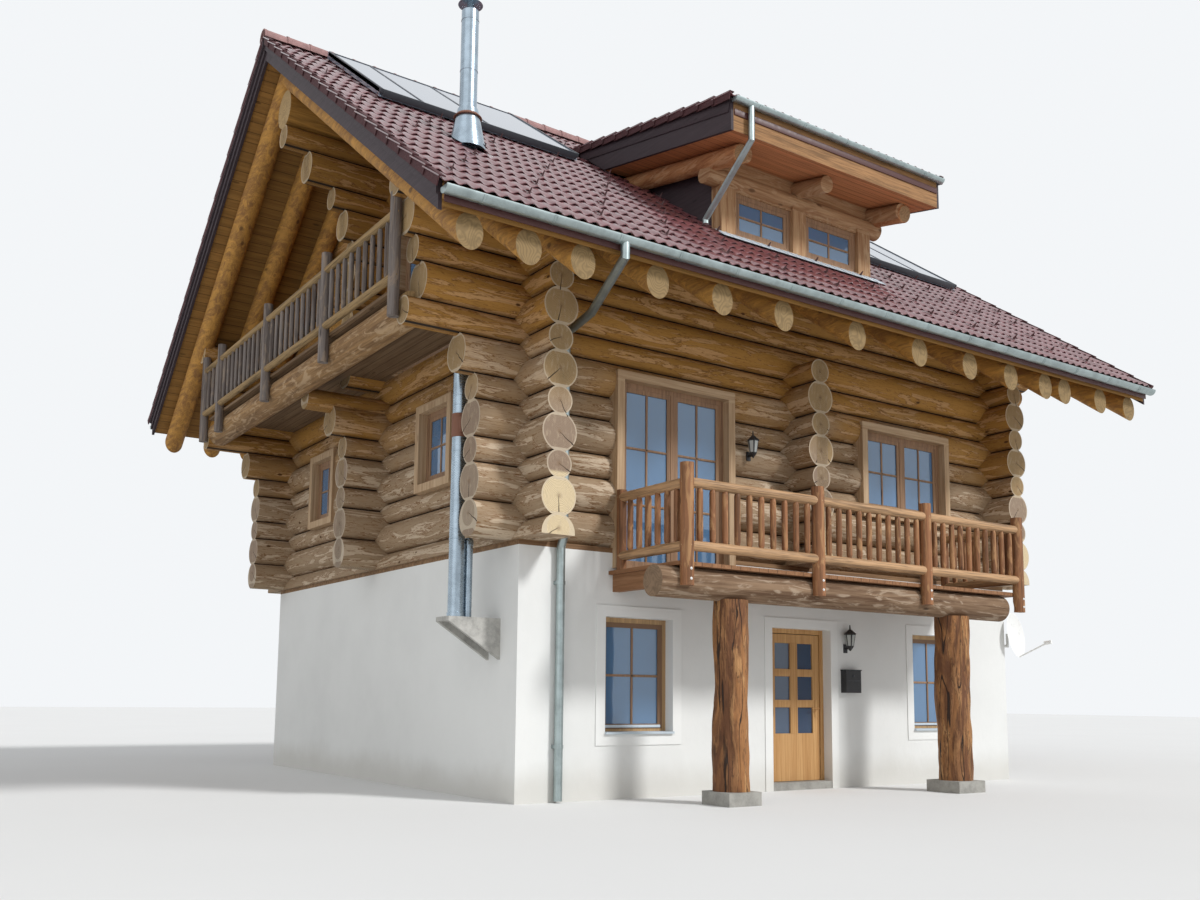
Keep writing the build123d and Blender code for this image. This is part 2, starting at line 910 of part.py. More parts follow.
def y_wall(x, courses, openings):
    """The logs of a gable wall, scribed over each other and cut to the roof."""
    side = -1 if x < 0 else 1
    holes = [log_hole(opening) for opening in openings]
    logs = []
    for course in courses:
        z, radius = side_axis(course), log_radius(course)
        passed = crossed(z, radius, x_courses, front_axis, log_radius)
        cutters = [x_cutters[y][lower] for y in (front_y, back_y) for lower in passed]
        passed = crossed(z, radius, middle_courses, middle_axis, middle_radius)
        cutters += [middle_cutters[side][lower] for lower in passed]
        if course > 0:
            cutters.append(y_cutters[x][course - 1])
        if course >= first_gable_course:
            cutters += [roof_space, ridge_cutter]
        logs.append(scribe(y_log(course, x), cutters + holes))
    return logs


with BuildPart() as front_log_wall:
    add(x_wall(front_y, front_storey_openings))
front_log_wall.part.label = "front_log_wall"
export_step(front_log_wall.part, "parts/front_log_wall.step")

with BuildPart() as rear_log_wall:
    add(x_wall(back_y, rear_storey_openings))
rear_log_wall.part.label = "rear_log_wall"
export_step(rear_log_wall.part, "parts/rear_log_wall.step")

with BuildPart() as left_log_wall:
    add(y_wall(left_x, range(0, first_gable_course), left_storey_openings + [gable_door_opening]))
left_log_wall.part.label = "left_log_wall"
export_step(left_log_wall.part, "parts/left_log_wall.step")

with BuildPart() as right_log_wall:
    add(y_wall(right_x, range(0, first_gable_course), right_storey_openings))
right_log_wall.part.label = "right_log_wall"
export_step(right_log_wall.part, "parts/right_log_wall.step")

with BuildPart() as left_gable_logs:
    add(y_wall(left_x, range(first_gable_course, gable_top_course + 1), [gable_door_opening]))
left_gable_logs.part.label = "left_gable_logs"
export_step(left_gable_logs.part, "parts/left_gable_logs.step")

with BuildPart() as right_gable_logs:
    add(y_wall(right_x, range(first_gable_course, gable_top_course + 1), [gable_window_opening]))
right_gable_logs.part.label = "right_gable_logs"
export_step(right_gable_logs.part, "parts/right_gable_logs.step")

# Ends of the log walls that stand inside the house
with BuildPart() as cross_wall_log_ends:
    for course in cross_courses:
        z, radius = side_axis(course), cross_radius(course)
        passed = crossed(z, radius, x_courses, front_axis, log_radius)
        cutters = [x_cutters[front_y][lower] for lower in passed]
        if course > 0:
            cutters.append(cross_cutters[course - 1])
        add(scribe(cross_log(course), cutters))
cross_wall_log_ends.part.label = "cross_wall_log_ends"
export_step(cross_wall_log_ends.part, "parts/cross_wall_log_ends.step")

with BuildPart() as middle_wall_log_ends:
    for side, wall_x in ((-1, left_x), (1, right_x)):
        for course in middle_courses:
            if side > 0 and course in gable_window_courses:
                continue
            z, radius = middle_axis(course), middle_radius(course)
            passed = crossed(z, radius, y_courses, side_axis, log_radius)
            cutters = [y_cutters[wall_x][lower] for lower in passed]
            if course > 0:
                cutters.append(middle_cutters[side][course - 1])
            if course == middle_top_course:
                cutters.append(ridge_cutter)
            if side > 0:
                cutters.append(log_hole(gable_window_opening))
            add(scribe(middle_log(course, side), cutters))
middle_wall_log_ends.part.label = "middle_wall_log_ends"
export_step(middle_wall_log_ends.part, "parts/middle_wall_log_ends.step")

with BuildPart() as ridge_purlin:
    add(log_along_x(left - ridge_reach, right + right_ridge_reach, 0, ridge_purlin_axis, ridge_radius))
ridge_purlin.part.label = "ridge_purlin"
export_step(ridge_purlin.part, "parts/ridge_purlin.step")

# Attic floor, coped to the logs that pass through it
with BuildPart() as attic_floor:
    add(block(left + log_axis_inset, right - log_axis_inset, front + log_axis_inset, back - log_axis_inset,
              attic_level - attic_thickness, attic_level))
    floor_courses = (bearer_course, bearer_course + 1)
    floor_cutters = [x_cutters[y][course] for y in (front_y, back_y) for course in floor_courses]
    floor_cutters += [y_cutters[x][bearer_course + 1] for x in (left_x, right_x)]
    floor_cutters += [middle_cutters[side][course] for side in (-1, 1) for course in floor_courses]
    floor_cutters += [cross_cutters[course] for course in floor_courses]
    add(floor_cutters, mode=Mode.SUBTRACT)
    add(attic_floor.solids().sort_by(SortBy.VOLUME)[-1], mode=Mode.REPLACE)
attic_floor.part.label = "attic_floor"
export_step(attic_floor.part, "parts/attic_floor.step")

# Plank casings through the log walls, and the windows and doors in them
storey_openings = front_storey_openings + rear_storey_openings + left_storey_openings + right_storey_openings
all_openings = storey_openings + [gable_door_opening, gable_window_opening]
casing_depth = casing_reach + logs_inside + casing_inside
log_storey_casings = as_group("log_storey_casings", [
    plank for plane, width, height, lights, closed in all_openings
    for plank in surround(plane, width, height, casing_width, -casing_depth, closed)
])
export_step(log_storey_casings, "parts/log_storey_casings.step")

with BuildPart() as log_storey_windows:
    for plane, width, height, lights, closed in all_openings:
        if closed:
            add(window_frame(plane.offset(-log_window_setback), width, height, lights))
log_storey_windows.part.label = "log_storey_windows"
export_step(log_storey_windows.part, "parts/log_storey_windows.step")

with BuildPart() as balcony_doors:
    for plane, width, height, lights, closed in all_openings:
        if not closed:
            add(window_frame(plane.offset(-log_window_setback), width, height, lights))
balcony_doors.part.label = "balcony_doors"
export_step(balcony_doors.part, "parts/balcony_doors.step")

# Rafters
dormer_tan = tan(radians(dormer_pitch))
dormer_back_face = dormer_face + dormer_depth


def dormer_top(y):
    """Tile surface of the dormer, y from the front wall face."""
    return dormer_tile_top + (y - dormer_eave) * dormer_tan


def dormer_under(y):
    """Soffit of the dormer roof."""
    return dormer_soffit + (y - dormer_eave) * dormer_tan


def main_top(y):
    """Tile surface of the main front slope, y from the front wall face."""
    return tile_surface(front + y)


dormer_hole_end = (dormer_soffit - dormer_eave * dormer_tan - main_top(0)) / (slope - dormer_tan)
dormer_top_end = (dormer_tile_top - dormer_eave * dormer_tan - main_top(0)) / (slope - dormer_tan)
trimmer_end = dormer_hole_end + trimmer_depth

with BuildPart() as front_rafters:
    for place in rafter_places:
        if dormer_left < place < dormer_right:
            add(scribe(rafter(place, -1, start=0, end=house_depth / 2 - trimmer_end), [ridge_cutter]))
            add(rafter(place, -1, start=house_depth / 2 - dormer_back_face))
        else:
            add(scribe(rafter(place, -1), [ridge_cutter]))
front_rafters.part.label = "front_rafters"
export_step(front_rafters.part, "parts/front_rafters.step")

with BuildPart() as rear_rafters:
    for place in rafter_places:
        add(scribe(rafter(place, 1), [ridge_cutter]))
rear_rafters.part.label = "rear_rafters"
export_step(rear_rafters.part, "parts/rear_rafters.step")

# Roof boards with insulation and battens, then the tiles, cut out for the dormer and the flue
deck_x0 = left - left_overhang + bargeboard_thickness
deck_x1 = right + right_overhang - bargeboard_thickness
flue_x = left + flue_place_x
flue_y = front + flue_place_y
with BuildPart() as flue_hole:
    with Locations((flue_x, flue_y, tile_surface(flue_y))):
        Cylinder(flue_radius + flue_clearance, 6 * deck_layer)


def roof_layer(y_eave, y_ridge, under, over):
    """Outline of one roof layer between two places, measured down from the tile surface."""
    return [
        (y_eave, tile_surface(y_eave) - under), (y_ridge, tile_surface(y_ridge) - under),
        (y_ridge, tile_surface(y_ridge) - over), (y_eave, tile_surface(y_eave) - over),
    ]


roof_under = tile_vertical + deck_vertical
hole_x0 = left + dormer_left
hole_x1 = left + dormer_right
hole_y0 = front + dormer_face
hole_y1 = front + dormer_hole_end


def sloping_fields(x0, x1, eave, under, over):
    """The four fields of a front roof layer round the dormer."""
    return [
        prism_x(roof_layer(front - eave, 0, under, over), x0, hole_x0),
        prism_x(roof_layer(front - eave, 0, under, over), hole_x1, x1),
        prism_x(roof_layer(front - eave, hole_y0, under, over), hole_x0, hole_x1),
        prism_x(roof_layer(hole_y1, 0, under, over), hole_x0, hole_x1),
    ]


front_deck_fields = sloping_fields(deck_x0, deck_x1, eave_reach, roof_under, tile_vertical)
front_roof_deck = as_group("front_roof_deck", [field - flue_hole.part for field in front_deck_fields])
export_step(front_roof_deck, "parts/front_roof_deck.step")

with BuildPart() as rear_roof_deck:
    add(prism_x(roof_layer(back + eave_reach, 0, roof_under, tile_vertical), deck_x0, deck_x1))
rear_roof_deck.part.label = "rear_roof_deck"
export_step(rear_roof_deck.part, "parts/rear_roof_deck.step")

tile_x0 = left - left_overhang - verge_reach
tile_x1 = right + right_overhang + verge_reach
front_roof_tiles = as_group("front_roof_tiles", [
    piece - flue_hole.part for piece in sloping_fields(tile_x0, tile_x1, tile_reach, tile_vertical, 0)
])
export_step(front_roof_tiles, "parts/front_roof_tiles.step")

with BuildPart() as rear_roof_tiles:
    add(prism_x(roof_layer(back + tile_reach, 0, tile_vertical, 0), tile_x0, tile_x1))
rear_roof_tiles.part.label = "rear_roof_tiles"
export_step(rear_roof_tiles.part, "parts/rear_roof_tiles.step")

with BuildPart() as ridge_tiles:
    with BuildSketch(Plane.YZ.offset(tile_x0)):
        with Locations((0, ridge_top - ridge_tile_drop)):
            Circle(ridge_tile_radius)
            Circle(ridge_tile_radius - ridge_tile_wall, mode=Mode.SUBTRACT)
        with BuildLine():
            Polyline((-1000, tile_surface(1000)), (0, ridge_top), (1000, tile_surface(1000)),
                     (1000, ridge_top - 2000), (-1000, ridge_top - 2000), close=True)
        make_face(mode=Mode.SUBTRACT)
    extrude(amount=tile_x1 - tile_x0)
ridge_tiles.part.label = "ridge_tiles"
export_step(ridge_tiles.part, "parts/ridge_tiles.step")


def dormer_deck_top(y):
    """Underside of the dormer tiles."""
    return dormer_top(y) - tile_layer / cos(radians(dormer_pitch))


def dormer_slab(under, over, reach=0):
    """Outline of a dormer roof layer, running back until it meets the main tiles."""
    eave = dormer_eave - reach
    under_end = (under(0) - main_top(0)) / (slope - dormer_tan)
    over_end = (over(0) - main_top(0)) / (slope - dormer_tan)
    return [
        (front + eave, under(eave)), (front + under_end, under(under_end)),
        (front + over_end, over(over_end)), (front + eave, over(eave)),
    ]


# Bargeboards in steps along the verges, and the boards at the eaves
verge_boards = []
for x0, x1 in ((left - left_overhang, deck_x0), (deck_x1, right + right_overhang)):
    for side, steps in ((-1, front_verge_steps), (1, rear_verge_steps)):
        eave_y = side * (house_depth / 2 + eave_reach)
        with BuildPart() as verge_board:
            add(prism_x(roof_layer(eave_y, 0, tile_vertical + bargeboard_height, tile_vertical), x0, x1))
            for step in range(1, steps):
                outer = x0 - step * bargeboard_step if x0 < 0 else x0
                inner = x1 if x0 < 0 else x1 + step * bargeboard_step
                drop = bargeboard_height * (steps - step) / steps
                add(prism_x(roof_layer(eave_y, 0, tile_vertical + drop, tile_vertical), outer, inner))
        verge_boards.append(verge_board.part)
for x0, x1 in ((left + dormer_verge_left, left + dormer_verge_left + bargeboard_thickness),
               (left + dormer_verge_right - bargeboard_thickness, left + dormer_verge_right)):
    verge_boards.append(prism_x(dormer_slab(dormer_under, dormer_deck_top), x0, x1))
bargeboards = as_group("bargeboards", verge_boards)
export_step(bargeboards, "parts/bargeboards.step")

with BuildPart() as eaves_boards:
    for side in (-1, 1):
        board_y = side * (house_depth / 2 + eave_reach)
        outer_y = board_y + side * fascia_thickness
        board_top = tile_surface(outer_y) - tile_vertical - fascia_gap
        add(block(deck_x0, deck_x1, min(board_y, outer_y), max(board_y, outer_y),
                  board_top - fascia_height, board_top))
eaves_boards.part.label = "eaves_boards"
export_step(eaves_boards.part, "parts/eaves_boards.step")

# Gutters and downpipes
gutter_z = tile_surface(house_depth / 2 + tile_reach) - tile_vertical - gutter_drop


def trough(x0, x1, y, z, radius):
    """A half-round gutter with closed ends."""
    with BuildPart() as gutter:
        with BuildSketch(Plane.YZ.offset(x0)):
            with Locations((y, z)):
                Circle(radius)
            with Locations((y, z + radius)):
                Rectangle(4 * radius, 2 * radius, mode=Mode.SUBTRACT)
        extrude(amount=x1 - x0)
        with BuildSketch(Plane.YZ.offset(x0 + gutter_wall)):
            with Locations((y, z)):
                Circle(radius - gutter_wall)
        extrude(amount=x1 - x0 - 2 * gutter_wall, mode=Mode.SUBTRACT)
    return gutter.part


def pipe(points, radius):
    """The straight runs of a round pipe through a row of points, mitred where they meet."""
    spare = 2 * radius
    directions = [(Vector(*end) - Vector(*start)).normalized() for start, end in zip(points, points[1:])]
    runs = []
    for index, direction in enumerate(directions):
        start = Vector(*points[index])
        length = (Vector(*points[index + 1]) - start).length
        before = spare if index > 0 else 0
        after = spare if index < len(directions) - 1 else 0
        with BuildPart() as run:
            with BuildSketch(Plane(origin=start - direction * before, z_dir=direction)):
                Circle(radius)
            extrude(amount=before + length + after)
            if before:
                split(bisect_by=Plane(origin=start, z_dir=directions[index - 1] + direction), keep=Keep.TOP)
            if after:
                mitre = direction + directions[index + 1]
                split(bisect_by=Plane(origin=points[index + 1], z_dir=mitre), keep=Keep.BOTTOM)
        runs.append(run.part)
    return runs


gutter_y = house_depth / 2 + eave_reach + fascia_thickness + gutter_radius
with BuildPart() as gutters:
    add(trough(left - left_overhang, right + right_overhang, -gutter_y, gutter_z, gutter_radius))
    add(trough(left - left_overhang, right + right_overhang, gutter_y, gutter_z, gutter_radius))
gutters.part.label = "gutters"
export_step(gutters.part, "parts/gutters.step")

pipe_x = left + pipe_place
gutter_space = gutter_radius + contact_gap
gutter_cutters = [
    log_along_x(left - spare_length, right + spare_length, side * gutter_y, gutter_z, gutter_space)
    for side in (-1, 1)
]
pipe_runs = []
for side in (-1, 1):
    wall_y = side * house_depth / 2
    gutter_line = side * gutter_y
    logs_line = wall_y + side * pipe_off_logs
    plaster_line = wall_y + side * pipe_off_plaster
    outlet, *lower_runs = pipe([
        (left + outlet_place, gutter_line, gutter_z),
        (left + outlet_place, gutter_line, gutter_z - gutter_radius - outlet_drop),
        (pipe_x, wall_y + side * pipe_turn_out, pipe_turn_top),
        (pipe_x, logs_line, pipe_turn_low),
        (pipe_x, logs_line, pipe_jog_top),
        (pipe_x, plaster_line, pipe_jog_low),
        (pipe_x, plaster_line, pipe_foot),
    ], pipe_radius)
    pipe_runs += [scribe(outlet, gutter_cutters)] + lower_runs
    for height in pipe_clamp_heights:
        with BuildPart() as clamp:
            add(block(pipe_x - pipe_radius - pipe_clamp, pipe_x + pipe_radius + pipe_clamp,
                      min(wall_y, plaster_line), max(wall_y, plaster_line),
                      height, height + pipe_clamp_height))
            with Locations((pipe_x, plaster_line, height + pipe_clamp_height / 2)):
                Cylinder(pipe_radius + pipe_clamp, pipe_clamp_height)
                Cylinder(pipe_radius + contact_gap, 2 * pipe_clamp_height, mode=Mode.SUBTRACT)
        pipe_runs.append(clamp.part)
downpipes = as_group("downpipes", pipe_runs)
export_step(downpipes, "parts/downpipes.step")

# Dormer
post_places = (dormer_left, (dormer_left + dormer_right - dormer_post) / 2, dormer_right - dormer_post)
lintel_y = front + (dormer_face + dormer_back_face) / 2
dormer_beams = []
dormer_beam_cutters = []
beam_y0 = dormer_face - dormer_beam_reach
beam_pitch = radians(dormer_pitch)
beam_z0 = dormer_under(beam_y0) - dormer_beam_radius / cos(beam_pitch)
for place in dormer_beam_places:
    beam_start = Plane(origin=(left + place, front + beam_y0, beam_z0), x_dir=(1, 0, 0),
                       z_dir=(0, cos(beam_pitch), sin(beam_pitch)))
    for extra, bucket in ((0, dormer_beams), (log_fit, dormer_beam_cutters)):
        with BuildPart() as dormer_beam:
            with BuildSketch(beam_start):
                Circle(dormer_beam_radius + extra)
            extrude(amount=(dormer_back_face - beam_y0) / cos(beam_pitch))
        bucket.append(dormer_beam.part)
lintel_cutter = log_along_x(left, right, lintel_y, dormer_lintel_axis, dormer_lintel_radius + log_fit)
with BuildPart() as lintel:
    add(log_along_x(left + dormer_lintel_left, left + dormer_lintel_right, lintel_y, dormer_lintel_axis,
                    dormer_lintel_radius))
    add(dormer_beam_cutters, mode=Mode.SUBTRACT)
with BuildPart() as dormer_front:
    add(prism_x([
        (front + dormer_face, deck_underside(front + dormer_face)),
        (front + dormer_back_face, deck_underside(front + dormer_back_face)),
        (front + dormer_back_face, dormer_sill_top), (front + dormer_face, dormer_sill_top),
    ], hole_x0, hole_x1))
    for place in post_places:
        add(block(left + place, left + place + dormer_post, front + dormer_face, front + dormer_back_face,
                  dormer_sill_top, dormer_lintel_axis))
    add(block(hole_x0, hole_x1, front + dormer_face + dormer_head_inset,
              front + dormer_back_face - dormer_head_inset, dormer_head, dormer_lintel_axis))
    board_y0 = lintel_y - lintel_board_half
    board_y1 = lintel_y + lintel_board_half
    add(prism_x([
        (board_y0, dormer_lintel_axis), (board_y1, dormer_lintel_axis),
        (board_y1, dormer_under(board_y1 - front)), (board_y0, dormer_under(board_y0 - front)),
    ], hole_x0, hole_x1))
    add(lintel_cutter, mode=Mode.SUBTRACT)
    add(dormer_beam_cutters, mode=Mode.SUBTRACT)
dormer_frame = as_group("dormer_frame", [dormer_front.part, lintel.part] + dormer_beams)
export_step(dormer_frame, "parts/dormer_frame.step")

dormer_light_width = post_places[1] - post_places[0] - dormer_post
dormer_openings = [
    front_plane(left + place + dormer_post + dormer_light_width / 2,
                front + dormer_face + dormer_window_setback, dormer_sill_top)
    for place in post_places[:2]
]
with BuildPart() as dormer_windows:
    for plane in dormer_openings:
        add(window_frame(plane, dormer_light_width, dormer_head - dormer_sill_top, 1))
dormer_windows.part.label = "dormer_windows"
export_step(dormer_windows.part, "parts/dormer_windows.step")

cheek_outline = [
    (front + dormer_back_face, deck_underside(front + dormer_back_face)), (hole_y1, deck_underside(hole_y1)),
    (hole_y1, dormer_under(dormer_hole_end)), (front + dormer_back_face, dormer_under(dormer_back_face)),
]
with BuildPart() as dormer_cheeks:
    add(prism_x(cheek_outline, hole_x0, hole_x0 + dormer_cheek))
    add(prism_x(cheek_outline, hole_x1 - dormer_cheek, hole_x1))
    add(dormer_beam_cutters + [lintel_cutter], mode=Mode.SUBTRACT)
dormer_cheeks.part.label = "dormer_cheeks"
export_step(dormer_cheeks.part, "parts/dormer_cheeks.step")

with BuildPart() as dormer_trimmer:
    add(prism_x(roof_layer(hole_y1, front + trimmer_end, roof_under + rafter_vertical, roof_under),
                left + dormer_trimmer_left, left + dormer_trimmer_right))
    add([rafter(place, -1, log_fit) for place in (dormer_trimmer_left, dormer_trimmer_right)],
        mode=Mode.SUBTRACT)
dormer_trimmer.part.label = "dormer_trimmer"
export_step(dormer_trimmer.part, "parts/dormer_trimmer.step")

with BuildPart() as dormer_roof:
    add(prism_x(dormer_slab(dormer_under, dormer_deck_top), left + dormer_verge_left + bargeboard_thickness,
                left + dormer_verge_right - bargeboard_thickness))
dormer_roof.part.label = "dormer_roof"
export_step(dormer_roof.part, "parts/dormer_roof.step")

with BuildPart() as dormer_tiles:
    add(prism_x(dormer_slab(dormer_deck_top, dormer_top, dormer_tile_reach),
                left + dormer_verge_left - verge_reach, left + dormer_verge_right + verge_reach))
dormer_tiles.part.label = "dormer_tiles"
export_step(dormer_tiles.part, "parts/dormer_tiles.step")

dormer_gutter_y = front + dormer_eave - dormer_gutter_radius
dormer_gutter_z = dormer_deck_top(dormer_eave - dormer_tile_reach) - gutter_drop
dormer_pipe_x = left + dormer_pipe_place
dormer_pipe_foot = main_top(dormer_face + dormer_pipe_radius) + contact_gap
dormer_gutter = trough(left + dormer_verge_left, left + dormer_verge_right, dormer_gutter_y, dormer_gutter_z,
                       dormer_gutter_radius)
dormer_gutter_cutter = log_along_x(
    left, right, dormer_gutter_y, dormer_gutter_z, dormer_gutter_radius + contact_gap
)
dormer_outlet, *dormer_pipe = pipe([
    (dormer_pipe_x, dormer_gutter_y, dormer_gutter_z),
    (dormer_pipe_x, dormer_gutter_y, dormer_soffit - 2 * dormer_pipe_radius),
    (dormer_pipe_x, front + dormer_face, dormer_pipe_foot + dormer_shoe),
    (dormer_pipe_x, front + dormer_face, dormer_pipe_foot),
], dormer_pipe_radius)
dormer_drainage = as_group(
    "dormer_drainage", [dormer_gutter, scribe(dormer_outlet, [dormer_gutter_cutter])] + dormer_pipe
)
export_step(dormer_drainage, "parts/dormer_drainage.step")

# Glass of all windows
with BuildPart() as window_glass:
    for plane in ground_windows_planes:
        add(window_panes(plane, ground_window_width, ground_window_height, 1))
    for plane, width, height, lights, closed in all_openings:
        add(window_panes(plane.offset(-log_window_setback), width, height, lights))
    for plane in dormer_openings:
        add(window_panes(plane, dormer_light_width, dormer_head - dormer_sill_top, 1))
window_glass.part.label = "window_glass"
export_step(window_glass.part, "parts/window_glass.step")

# Solar collectors on the front slope
collector_vertical = collector_thickness / cos(radians(roof_pitch))
with BuildPart() as solar_collectors:
    for x0, x1, y0, y1 in collector_fields:
        outline = roof_layer(front + y0, front + y1, 0, -collector_vertical)
        add(prism_x(outline, left + x0, left + x1))
solar_collectors.part.label = "solar_collectors"
export_step(solar_collectors.part, "parts/solar_collectors.step")

# Flue on its bracket, with a cone where it passes the tiles and a cap
flue_roof = tile_surface(flue_y)
flue_step = attic_level + flue_step_over_deck
with BuildPart() as flue_foot:
    with BuildSketch(Plane.XY.offset(flue_bottom)):
        with Locations((flue_x, flue_y)):
            Circle(flue_lower_radius)
    extrude(amount=flue_step - flue_bottom)
flue_clamp_level = side_axis(flue_clamp_course)
with BuildPart() as flue_clamp:
    add(block(flue_x, left, flue_y - flue_lower_radius / 3, flue_y + flue_lower_radius / 3, flue_clamp_level,
              flue_clamp_level + pipe_clamp_height))
    add(y_cutters[left_x][flue_clamp_course], mode=Mode.SUBTRACT)
    add(log_upright(flue_x, flue_y, flue_bottom, flue_step, flue_lower_radius + contact_gap),
        mode=Mode.SUBTRACT)
with BuildPart() as flue_head:
    with BuildSketch(Plane.XY.offset(flue_step)):
        with Locations((flue_x, flue_y)):
            Circle(flue_radius)
    extrude(amount=flue_top - flue_step)
    with Locations((flue_x, flue_y, flue_top + flue_cap_gap / 2)):
        Cylinder(flue_lower_radius / 2, flue_cap_gap)
    with Locations((flue_x, flue_y, flue_top + flue_cap_gap + flue_cap_height / 2)):
        Cone(flue_cap_radius, flue_cap_radius / 4, flue_cap_height)
with BuildPart() as flue_cone:
    with Locations((flue_x, flue_y, flue_roof + flue_cone_height / 2)):
        Cone(flue_cone_radius, flue_radius + flue_clearance, 2 * flue_cone_height)
    add(prism_x([
        (flue_y - 1000, tile_surface(flue_y - 1000)), (flue_y + 1000, tile_surface(flue_y + 1000)),
        (flue_y + 1000, flue_step), (flue_y - 1000, flue_step),
    ], flue_x - 1000, flue_x + 1000), mode=Mode.SUBTRACT)
    with Locations((flue_x, flue_y, flue_roof)):
        Cylinder(flue_radius + contact_gap, 6 * flue_cone_height, mode=Mode.SUBTRACT)
flue = as_group("flue", [flue_foot.part, flue_clamp.part, flue_head.part, flue_cone.part])
export_step(flue, "parts/flue.step")

with BuildPart() as flue_bracket:
    bracket_x = flue_x - bracket_width / 2
    bracket_under = flue_bottom - bracket_thickness
    add(block(bracket_x, left, flue_y - bracket_width / 2, flue_y + bracket_width / 2,
              bracket_under, flue_bottom))
    for bracket_y in (flue_y - bracket_width / 2, flue_y + bracket_width / 2 - bracket_thickness):
        with BuildSketch(Plane.XZ.offset(-bracket_y)):
            with BuildLine():
                Polyline((left, bracket_under), (bracket_x, bracket_under),
                         (left, bracket_under - bracket_brace), close=True)
            make_face()
        extrude(amount=-bracket_thickness)
flue_bracket.part.label = "flue_bracket"
export_step(flue_bracket.part, "parts/flue_bracket.step")

# Front balcony
beam_y = front - balcony_beam_place
deck_under = deck_level - deck_board
rail_y = front - rail_post_place
beam_cutter = log_along_x(left, right, beam_y, balcony_beam_axis, balcony_beam_radius + log_fit)

with BuildPart() as balcony_beam:
    add(log_along_x(left + balcony_beam_left, left + balcony_beam_right, beam_y, balcony_beam_axis,
                    balcony_beam_radius))
balcony_beam.part.label = "balcony_beam"
export_step(balcony_beam.part, "parts/balcony_beam.step")

with BuildPart() as balcony_supports:
    for place, radius in zip(support_places, support_radii):
        support = log_upright(left + place, beam_y, plinth_height, balcony_beam_axis, radius)
        add(scribe(support, [beam_cutter]))
balcony_supports.part.label = "balcony_supports"
export_step(balcony_supports.part, "parts/balcony_supports.step")

with BuildPart() as plinth_stones:
    for place, radius in zip(support_places, support_radii):
        add(block(left + place - radius - plinth_margin, left + place + radius + plinth_margin,
                  beam_y - radius - plinth_margin, beam_y + radius + plinth_margin, 0, plinth_height))
plinth_stones.part.label = "plinth_stones"
export_step(plinth_stones.part, "parts/plinth_stones.step")

post_cutters = [
    log_upright(left + place, rail_y, 0, roof_top, rail_post_radius + log_fit) for place in rail_post_places
]
with BuildPart() as deck_boards:
    add(block(left + balcony_left, left + balcony_right, front - balcony_reach, front,
              deck_under, deck_level))
    add(post_cutters, mode=Mode.SUBTRACT)
joists = [
    scribe(block(left + place - joist_width / 2, left + place + joist_width / 2, beam_y, front,
                 deck_under - joist_height, deck_under), [beam_cutter])
    for place in joist_places
]
balcony_deck = as_group("balcony_deck", [deck_boards.part] + joists)
export_step(balcony_deck, "parts/balcony_deck.step")

rails = (top_rail_level, bottom_rail_level)


def spindle(x, y, z0, z1, radius):
    """A baluster with pointed ends, its point standing inside the rails."""
    with BuildPart() as stick:
        with BuildSketch(Plane(origin=(x, y, 0), x_dir=(1, 0, 0), z_dir=(0, -1, 0))):
            with BuildLine():
                Polyline((0, z0), (radius / 2, z0), (radius, z0 + baluster_point),
                         (radius, z1 - baluster_point), (radius / 2, z1), (0, z1), close=True)
            make_face()
        revolve(axis=Axis((x, y, 0), (0, 0, 1)))
    return stick.part


def balustrade_panel(start, end, levels, rail_size, stick_size, spacing):
    """Two rails with their balusters between two posts, all in one piece; along X or along Y."""
    along_x = start[1] == end[1]
    length = (end[0] - start[0]) if along_x else (end[1] - start[1])
    count = round(length / spacing)
    top, bottom = levels
    with BuildPart() as panel:
        for level in levels:
            if along_x:
                add(log_along_x(start[0], end[0], start[1], level, rail_size))
            else:
                add(log_along_y(start[1], end[1], start[0], level, rail_size))
        for index in range(1, count):
            share = index / count
            x = start[0] + (end[0] - start[0]) * share
            y = start[1] + (end[1] - start[1]) * share
            add(spindle(x, y, bottom, top, stick_size))
    return panel.part


wall_post_y = front - wall_post_place
front_posts = [
    scribe(log_upright(left + place, rail_y, post_foot, top, rail_post_radius), [beam_cutter])
    for place, top in zip(rail_post_places, rail_post_tops)
]
end_places = (rail_post_places[0], rail_post_places[-1])
wall_posts = [
    log_upright(left + place, wall_post_y, deck_level, wall_post_top, wall_post_radius)
    for place in end_places
]
all_post_cutters = post_cutters + [
    log_upright(left + place, wall_post_y, 0, roof_top, wall_post_radius + log_fit) for place in end_places
]
front_panels = [
    scribe(balustrade_panel((left + a, rail_y), (left + b, rail_y), rails, rail_radius, baluster_radius,
                            baluster_spacing), post_cutters)
    for a, b in zip(rail_post_places, rail_post_places[1:])
]
rail_cutters = [log_along_x(left, right, rail_y, level, rail_radius + log_fit) for level in rails]
return_panels = [
    scribe(balustrade_panel((left + place, rail_y), (left + place, wall_post_y), rails, rail_radius,
                            baluster_radius, return_spacing), all_post_cutters + rail_cutters)
    for place in end_places
]
with BuildPart() as front_balustrade:
    add(front_posts + wall_posts + front_panels + return_panels)
front_balustrade.part.label = "front_balustrade"
export_step(front_balustrade.part, "parts/front_balustrade.step")

# Gable balcony
gable_beam_cutter = log_along_y(
    front, back, left + gable_beam_x, gable_beam_axis, gable_beam_radius + log_fit
)
corbel_cutters = [x_cutters[y][course] for y in (front_y, back_y) for course in floor_courses]
with BuildPart() as gable_beam:
    add(log_along_y(front + gable_beam_inset, back - gable_beam_inset, left + gable_beam_x, gable_beam_axis,
                    gable_beam_radius))
    add(corbel_cutters + [middle_cutters[-1][bearer_course]], mode=Mode.SUBTRACT)
gable_beam.part.label = "gable_beam"
export_step(gable_beam.part, "parts/gable_beam.step")

